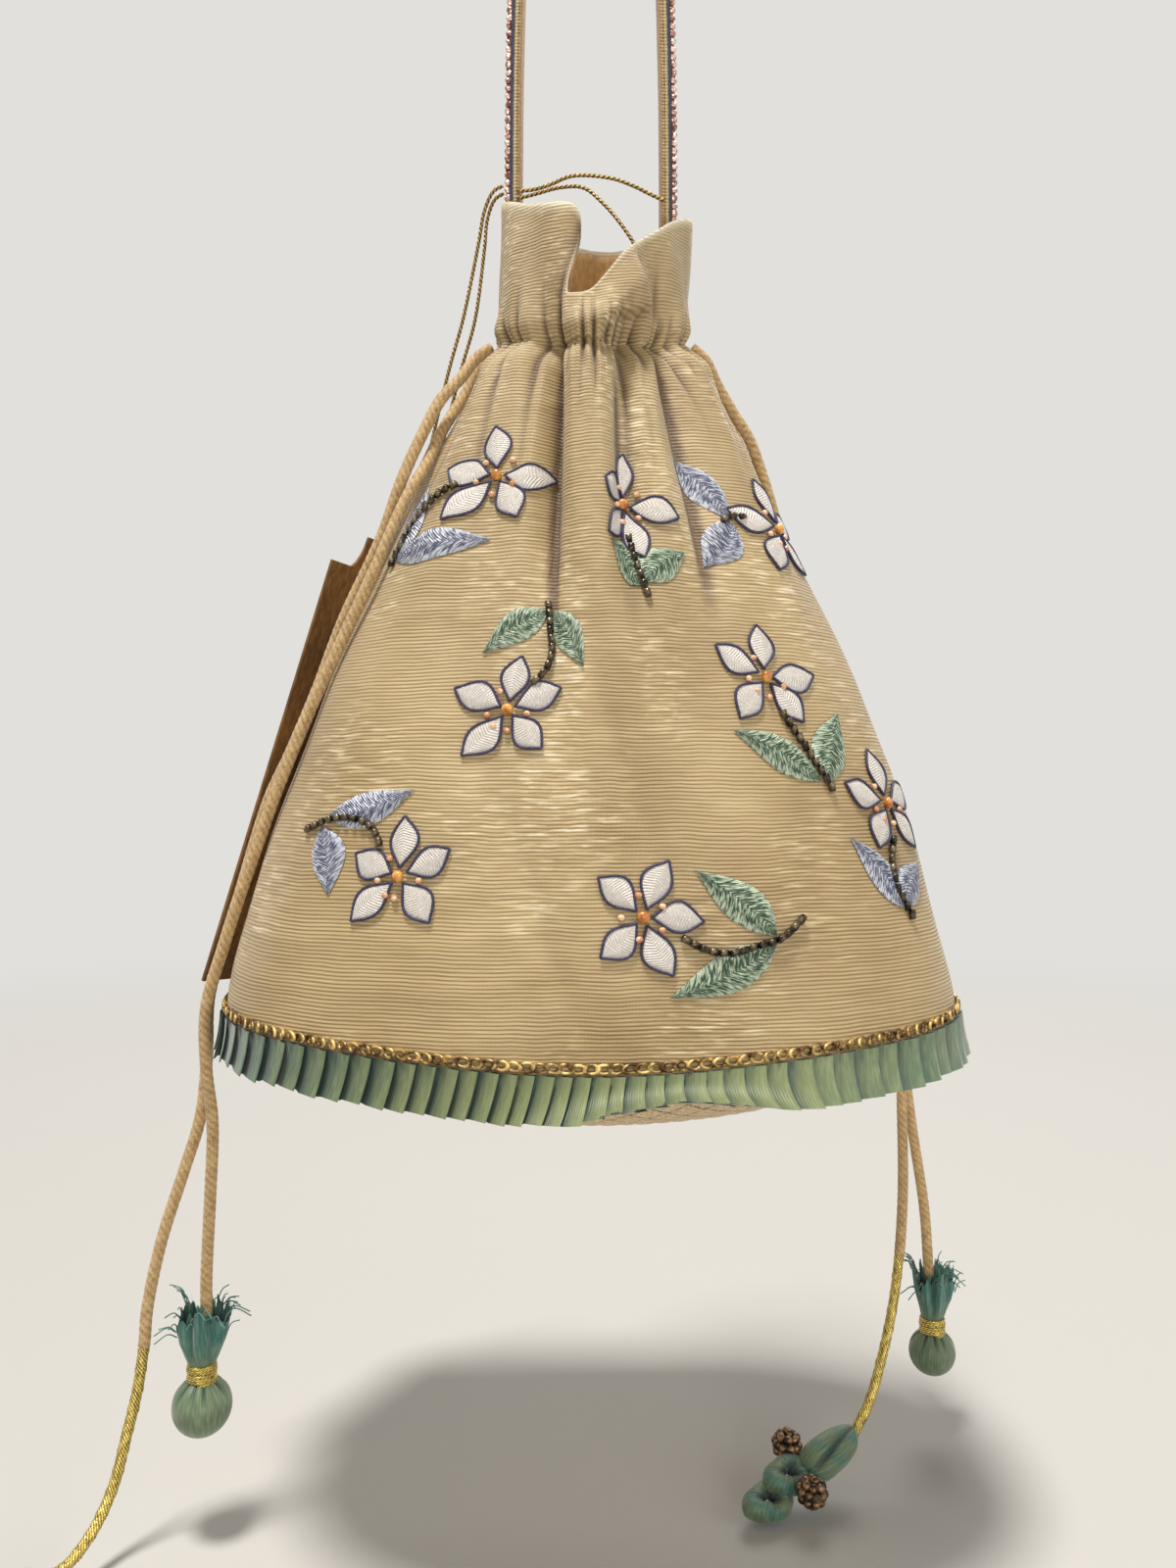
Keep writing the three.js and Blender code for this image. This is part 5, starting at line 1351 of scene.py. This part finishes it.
# %% Bodies of a knot
KNOT_LENGTH, KNOT_HEIGHT = 33, 23
BUD_MIDDLE, BUD_HALF_LENGTH, BUD_RADIUS, BUD_SINK = -7.8, 9.6, 5.4, -2.0
# Each loop: its middle, its lean, the radius of the ring and the radius of the roll
KNOT_LOOPS = [((5.8, -1.2, -2.2), 0.6, 3.7, 2.9), ((13.6, 0.2, -6.4), 0.4, 4.0, 2.8)]
KNOT_COLUMNS, BUD_ROWS, ROLL_ROWS = 64, 44, 25
BUD_ENDS = (-17.5, 2)


def knot_bud(cord_height):
    turn = np.linspace(0, 2 * np.pi, KNOT_COLUMNS, endpoint=False)[None, :]
    polar = np.linspace(0, np.pi, BUD_ROWS)[:, None]
    crease = bell(wrapped(turn - 0.9 - 0.5 * np.cos(polar)), 0.2) + 0.7 * bell(wrapped(turn + 1.9), 0.22)
    crease = (crease + 0.6 * bell(wrapped(turn - 2.6), 0.2)) * np.sin(polar)
    girth = BUD_RADIUS * np.sin(polar) ** 0.6 * (1 - 0.3 * crease) * (1 - 0.12 * np.cos(polar))
    ripple = 0.8 * np.cos(2 * turn) * np.cos(polar) * np.sin(polar)
    reach = BUD_MIDDLE - BUD_HALF_LENGTH * np.cos(polar) + ripple
    sink = np.interp(reach, BUD_ENDS, [cord_height, BUD_SINK])
    return join_axes(reach, girth * np.cos(turn), girth * np.sin(turn) + sink), crease


def knot_loop(middle, lean, ring, roll):
    major = np.linspace(0, 2 * np.pi, KNOT_COLUMNS, endpoint=False)[None, :]
    minor = np.linspace(0, 2 * np.pi, ROLL_ROWS)[:, None]
    wrinkle = 0.1 * np.sin(3 * major + 2 * np.cos(minor)) + 0.04 * np.sin(7 * major + 1)
    thick = roll * (1 + wrinkle)
    out = ring + thick * np.cos(minor)
    side, rise = 0.8 * out * np.sin(major), thick * np.sin(minor)
    leant = join_axes(1.15 * out * np.cos(major), side * math.cos(lean) + rise * math.sin(lean),
                      rise * math.cos(lean) - side * math.sin(lean))
    shade = np.clip(-1.3 * np.cos(minor) + 0 * major, 0, 0.9) + np.clip(-3 * wrinkle, 0, 0.3)
    return leant + np.array(middle), shade


print("a knot has a bud and", len(KNOT_LOOPS), "loops")

# %% Make the knot tassels
BEAD_FINISH = metal_finish("bronze_bead", srgb(38, 26, 16), srgb(148, 116, 84), 0.28, 0.55)
BEAD_SPOTS = ((1.5, -6.8, 2.6), (4.0, 7.0, -3.0))
BEAD_BALL_RADIUS, BEAD_PITCH, BEAD_SIZE, BEAD_TILT = 3.3, 2.1, (2.7, 2.7, 2.3), 0.4
SPIRAL_MARGIN, SPIRAL_RATE, SPIRAL_POINTS = 0.25, 9, 90
KNOT_CLOTH = (40, 20)


def knot_tassel(side, wrap_route):
    last, before = np.array(wrap_route[-1], float), np.array(wrap_route[-2], float)
    ahead = (last - before) * (1, 1, 0)
    ahead = ahead / np.linalg.norm(ahead)
    axes = np.stack([ahead, np.cross((0, 0, 1), ahead), (0, 0, 1.0)])
    centre = last + ahead * (KNOT_LENGTH / 2 + CLEARANCE)
    centre[2] = TABLE_Z + KNOT_HEIGHT / 2

    bodies = [knot_bud(last[2] - centre[2])] + [knot_loop(*loop) for loop in KNOT_LOOPS]
    grids = []
    for local, _ in bodies:
        rows, columns = local.shape[:2]
        uv = join_axes(np.linspace(0, KNOT_CLOTH[0], columns + 1)[None, :],
                       np.linspace(0, KNOT_CLOTH[1], rows)[:, None])
        grids.append((centre + local @ axes, uv, True))
    knot = grids_piece(f"{side}_knot_cloth", grids, TASSEL_FINISH)
    spots = np.concatenate([grid.reshape(-1, 3) for grid, _, _ in grids])
    # Painted shade: dark inside each loop, in the loops' wrinkles and in the bud's creases.
    tuck = np.concatenate([np.broadcast_to(shade, local.shape[:2]).reshape(-1) for local, shade in bodies])
    paint(knot, sage=0.68 + 0.3 * np.sin(spots @ (0.5, 0.3, 0.7)), tuck=np.clip(tuck, 0, 0.85))
    settle(knot, "tassel_cloth", f"{side}_knot_tassel")

    spiral = np.linspace(SPIRAL_MARGIN, np.pi - SPIRAL_MARGIN, SPIRAL_POINTS)
    swirl = SPIRAL_RATE * spiral
    ball = join_axes(np.sin(spiral) * np.cos(swirl), np.sin(spiral) * np.sin(swirl), np.cos(spiral))
    strings = [(centre + (ball * BEAD_BALL_RADIUS + np.array(spot)) @ axes, ball @ axes, False)
               for spot in BEAD_SPOTS]
    beads = string_along(f"{side}_knot_beads", strings, BEAD_FINISH, ball_shape, BEAD_PITCH, BEAD_SIZE,
                         BEAD_TILT)
    settle(beads, "bronze_beads", f"{side}_knot_beads_near", f"{side}_knot_beads_far")
    return [windings[side], knot, beads]


carried["left", "knot"] = knot_tassel("left", LEFT_KNOT_WRAP)
carried["right", "knot"] = knot_tassel("right", RIGHT_KNOT_WRAP)
print("knot tassels made")

# %% [markdown]
# ## What hangs on each drawstring
# For each limp cord the script keeps its route from where it leaves the casing, its length and the pieces
# that hang on its end, and prints how many pieces each end carries. This comes last, because the tassels had
# to be made first.

for (side, end), (cord, path, length) in drawstrings.items():
    print(side, end, "end carries", len(carried[side, end]), "pieces")

# %% [markdown]
# ## The handle
# The handle is a flat strap that arches over the hand. Its inner layer is tan webbing, a navy piping runs
# along both edges, and the outer face carries a ribbon of pink and bronze sequins. The strap and the ribbon
# are bands with rounded corners, swept along one arch.

# %% Arch and webbing
HANDLE_RISE = 112
STRAP_WIDTH, STRAP_THICKNESS = 12, 2.5
RIBBON_WIDTH, RIBBON_THICKNESS = 10, 1.3
STRAP_HALF_SPACING, STRAP_TUCK = 20, 22
STRAP_TOP = -(RIBBON_THICKNESS + CLEARANCE + STRAP_THICKNESS / 2)
RIBBON_OFFSET = STRAP_THICKNESS / 2 + CLEARANCE + RIBBON_THICKNESS / 2
BAND_CORNER, BAND_SIDES, ARCH_SPACING = 6, 28, 0.8
TWILL_PITCH = 0.9

half_arch = [(1, -(HANDLE_RISE + STRAP_TUCK)), (1, -0.9 * HANDLE_RISE), (0.98, -0.62 * HANDLE_RISE),
             (0.92, -0.36 * HANDLE_RISE), (0.74, -0.15 * HANDLE_RISE), (0.42, STRAP_TOP - 0.03 * HANDLE_RISE)]
arch = [(-side * STRAP_HALF_SPACING, 0, z) for side, z in half_arch] + [(0, 0, STRAP_TOP)]
arch += [(side * STRAP_HALF_SPACING, 0, z) for side, z in reversed(half_arch)]
arch_route, arch_arc = smooth_route(arch, ARCH_SPACING)
arch_along = np.gradient(arch_route, axis=0)
arch_along /= np.linalg.norm(arch_along, axis=1)[:, None]
arch_out = np.stack([-arch_along[:, 2], np.zeros(len(arch_along)), arch_along[:, 0]], axis=1)


def beside_arch(out, sideways):
    return arch_route + arch_out * out + np.array((0, sideways, 0))


def band_grid(width, thickness, offset):
    angle = np.linspace(0, 2 * np.pi, BAND_SIDES, endpoint=False)
    power = 2 / BAND_CORNER
    side = np.sign(np.cos(angle)) * np.abs(np.cos(angle)) ** power * width / 2
    face = np.sign(np.sin(angle)) * np.abs(np.sin(angle)) ** power * thickness / 2
    grid = np.stack([beside_arch(offset + f, s) for f, s in zip(face, side)], axis=1)
    return cap_tube(grid, join_axes(np.append(face, face[0])[None, :] * 4, arch_arc[:, None]))


def webbing_finish():
    wire = new_finish("striped_webbing")
    _, layer, along = cloth_place(wire)
    own = own_place(wire)
    depth = wire.make("ShaderNodeSeparateXYZ", {"Vector": own}, out="Y")
    twill = (along + depth * (1 / MM)).wave(TWILL_PITCH)
    grain = own.noise(900.0, 3.0)
    stripe = (layer * 0.1 + 0.5).ramp([
        (0.0, srgb(176, 138, 88)), (0.34, srgb(150, 108, 62)), (0.5, srgb(92, 74, 40)),
        (0.62, srgb(196, 178, 128)), (0.8, srgb(128, 122, 84)), (1.0, srgb(70, 60, 52))])
    colour = (grain.clamp(0.3, 0.8) * 0.4).mix(stripe, srgb(214, 188, 140))
    return close_finish(wire, colour, 0.7, twill * 0.4 + grain, 0.5, Sheen_Weight=0.2)


print("handle arch", round(arch_arc[-1]), "mm long")

# %% Make the strap, the ribbon and the piping
RIBBON_FINISH = cloth_finish("ribbon_net", srgb(120, 78, 66), srgb(204, 160, 140), 0.6)
NET_SHARE, NET_SINK = 0.7, 0.15
PIPING_RADIUS, PIPING_LIFT, PIPING_SIDES, PIPING_TWIST = 0.5, 0.15, 8, (2, 0.2, 2.5)

strap_band = band_grid(STRAP_WIDTH, STRAP_THICKNESS, 0)
settle(grid_piece("webbing_strap", *strap_band, webbing_finish()), "strap_webbing", "handle_strap")
ribbon_band = band_grid(RIBBON_WIDTH, RIBBON_THICKNESS * NET_SHARE, RIBBON_OFFSET - NET_SINK)
settle(grid_piece("ribbon_net", *ribbon_band, RIBBON_FINISH), "sequin_ribbon", "handle_ribbon")
piping = []
for side in (-1, 1):
    edge_route = beside_arch(STRAP_THICKNESS / 2 + PIPING_LIFT, side * (RIBBON_WIDTH / 2 + CLEARANCE))
    piping.append((*tube_grid(edge_route, arch_arc, PIPING_RADIUS, PIPING_SIDES, *PIPING_TWIST), True))
settle(grids_piece("navy_piping", piping, EDGE_FINISH), "strap_webbing")
print("strap, ribbon and piping made")

# %% [markdown]
# ## The sequins
# The sequins sit in five rows on the ribbon and one along each of its edges, at small random tilts, so each
# one catches the light in its own way. Geometry Nodes repeat one cupped disc along the rows.

# %% Sew the sequins
SEQUIN_FINISH = metal_finish("sequins", srgb(142, 84, 72), srgb(246, 214, 196), 0.28, 0.6)
SEQUIN_PITCH, SEQUIN_SIZE, SEQUIN_TILT = 2.1, (2.1, 2.1, 0.5), 0.35
SEQUIN_ROWS = (-4.4, -2.2, 0.0, 2.2, 4.4)
BARE_END = slice(6, -6)

sequin_out = RIBBON_OFFSET + RIBBON_THICKNESS * 0.35 - 0.05
rows = [(beside_arch(sequin_out, place)[BARE_END], arch_out[BARE_END], False) for place in SEQUIN_ROWS]
for side in (-1, 1):
    row = beside_arch(RIBBON_OFFSET, side * RIBBON_WIDTH / 2)[BARE_END]
    rows.append((row, np.tile((0, float(side), 0), (len(row), 1)), False))
sequins = string_along("sequins", rows, SEQUIN_FINISH, disc_shape, SEQUIN_PITCH, SEQUIN_SIZE,
                       SEQUIN_TILT, seed=11)
settle(sequins, "sequin_ribbon")

# %% [markdown]
# ## The tag string
# A thin gold string is knotted at the left strap. Two strands run down behind the collar to the card, and two
# more run across between the straps. Each is a two-ply twist about a millimetre thick.

# %% Lay the tag string
STRING_TWIST, STRING_SIDES, STRING_SPACING = (2, 0.35, 2.2), 10, 0.35
TAG_STRINGS = {
    "tag_strand_outer": [
        (-23.9, -2, -107.5), (-26.5, -1.2, -108.6), (-29, 0.8, -112.5), (-31, 3, -121), (-35.4, 5.8, -140),
        (-39.5, 8.1, -153.1), (-43.5, 10.9, -167.1), (-48, 14.2, -184.1), (-52.5, 17.5, -199.1),
        (-55.1, 19.9, -206.6)],
    "tag_strand_inner": [
        (-23.9, 2, -107.5), (-26.5, 3, -108.8), (-28.6, 4.8, -113), (-29.6, 6, -121), (-32.4, 7.8, -140),
        (-36.5, 10.1, -153.1), (-40.5, 12.4, -167.1), (-45, 15.2, -184.1), (-48.7, 16.2, -199.1),
        (-52, 17.6, -207.6)],
    "strap_tie_upper": [
        (-19.5, -6.95, -111.5), (-15, -8, -111.5), (-11, -9, -110.8), (-5, -10, -109), (5, -10, -109.5),
        (11, -9, -111), (16, -7.8, -112.8), (19.5, -6.95, -114)],
    "strap_tie_lower": [
        (-19.5, -6.95, -113.4), (-15, -8.4, -113), (-8, -10, -112), (-2, -11, -112.6), (3, -12, -117),
        (8.5, -13, -124), (11.8, -13.2, -129.5), (13.2, -12.9, -134)]}

for name, points in TAG_STRINGS.items():
    string, path, length = cord_piece(f"{name}_thread", points, STRING_DIAMETER, STRING_FINISH, STRING_TWIST,
                                      STRING_SIDES, STRING_SPACING)
    settle(string, "tag_string", name)
    print(name, round(length / MM), "mm")

# %% [markdown]
# ## The card tag
# The card keeps its plain solid, since a flat card needs no more shape. It only gets a finish: brown kraft
# with short fibres and soft mottling.


# %% Finish the card
def card_finish():
    wire = new_finish("kraft_card")
    place = own_place(wire)
    fibre = wire.make("ShaderNodeMapping", {"Vector": place, "Scale": (900, 900, 240)}).noise(1.0, 4.0)
    shade = (place.noise(60.0, 5.0) * 0.6 + fibre * 0.7 - 0.15).clamp(0.25, 0.75)
    return close_finish(wire, shade.mix(srgb(96, 66, 32), srgb(150, 110, 62)), 0.85, fibre, 0.25, 0.2)


card = bpy.data.objects["hang_tag"]
card.data.materials.clear()
card.data.materials.append(card_finish())
print("card finish on", card.name)

# %% [markdown]
# ## Studio
# A pale floor, a pale background and four soft lights stand in for a plain photo table. The key light comes
# from high above the front left, a front light and a fill open the shadows, and a rim light behind lifts the
# outline. The floor fades into the background, so that no horizon shows.

# %% Floor and lights
BACKGROUND = srgb(226, 224, 220)
FLOOR_SPAN, FLOOR_GAP = 3000, 0.2
AIM = np.array((0, 0, -0.27))
WARM, COOL = (1.0, 0.97, 0.93), (0.97, 0.98, 1.0)


def floor_finish():
    wire = new_finish("pale_floor")
    from_middle = wire.make("ShaderNodeVectorMath", {0: own_place(wire)}, out="Value", operation="LENGTH")
    near = wire.make("ShaderNodeBsdfPrincipled", {"Base Color": srgb(192, 190, 186), "Roughness": 0.9})
    far = wire.make("ShaderNodeEmission", {"Color": BACKGROUND})
    both = wire.make("ShaderNodeMixShader", {0: from_middle.clamp(0.55, 1.3), 1: near, 2: far})
    wire.make("ShaderNodeOutputMaterial", {"Surface": both})
    return wire.material


def soft_light(name, place, size, power, colour):
    data = bpy.data.lights.new(name, "AREA")
    data.shape = "DISK"
    data.size = size
    data.energy = power
    data.color = colour
    light = bpy.data.objects.new(name, data)
    light.location = place
    aim = AIM - np.array(place)
    turn = math.atan2(aim[1], aim[0]) - math.pi / 2
    light.rotation_euler = (math.acos(-aim[2] / np.linalg.norm(aim)), 0, turn)
    bpy.context.scene.collection.objects.link(light)


corners = [(x * FLOOR_SPAN, y * FLOOR_SPAN, TABLE_Z - FLOOR_GAP)
           for x, y in ((-1, -1), (1, -1), (1, 1), (-1, 1))]
mesh_piece("floor", corners, [(0, 1, 2, 3)], floor_finish(), smooth=False)
soft_light("key", (-0.48, -0.58, 2.78), 0.6, 112, WARM)
soft_light("front", (0.2, -1.3, -0.1), 0.5, 4.2, WARM)
soft_light("fill", (1.0, -0.8, 0.2), 0.9, 3.2, COOL)
soft_light("rim", (0.3, 1.0, 0.7), 0.8, 7, WARM)
print("floor and lights ready")

# %% [markdown]
# ## Background
# A bright background would light the pouch from all sides and wash out its folds. So the world is split:
# the camera, reflections and clear glass see the pale background, and the cloth is lit by a weaker one.

# %% Background
world = bpy.data.worlds.new("studio")
bpy.context.scene.world = world
world.use_nodes = True
world.node_tree.nodes.clear()
sky = Wire(world.node_tree)
ray = {path.socket.name: path for path in sky.make("ShaderNodeLightPath").outputs()}
seen = ray["Is Camera Ray"].math("MAXIMUM", ray["Is Glossy Ray"]).math("MAXIMUM", ray["Is Transmission Ray"])
shown = sky.make("ShaderNodeBackground", {"Color": BACKGROUND, "Strength": 1.0})
lit = sky.make("ShaderNodeBackground", {"Color": srgb(234, 229, 220), "Strength": 0.24})
sky.make("ShaderNodeOutputWorld", {"Surface": sky.make("ShaderNodeMixShader", {0: seen, 1: lit, 2: shown})})
bpy.context.scene.view_settings.view_transform = "Standard"
print("background ready")
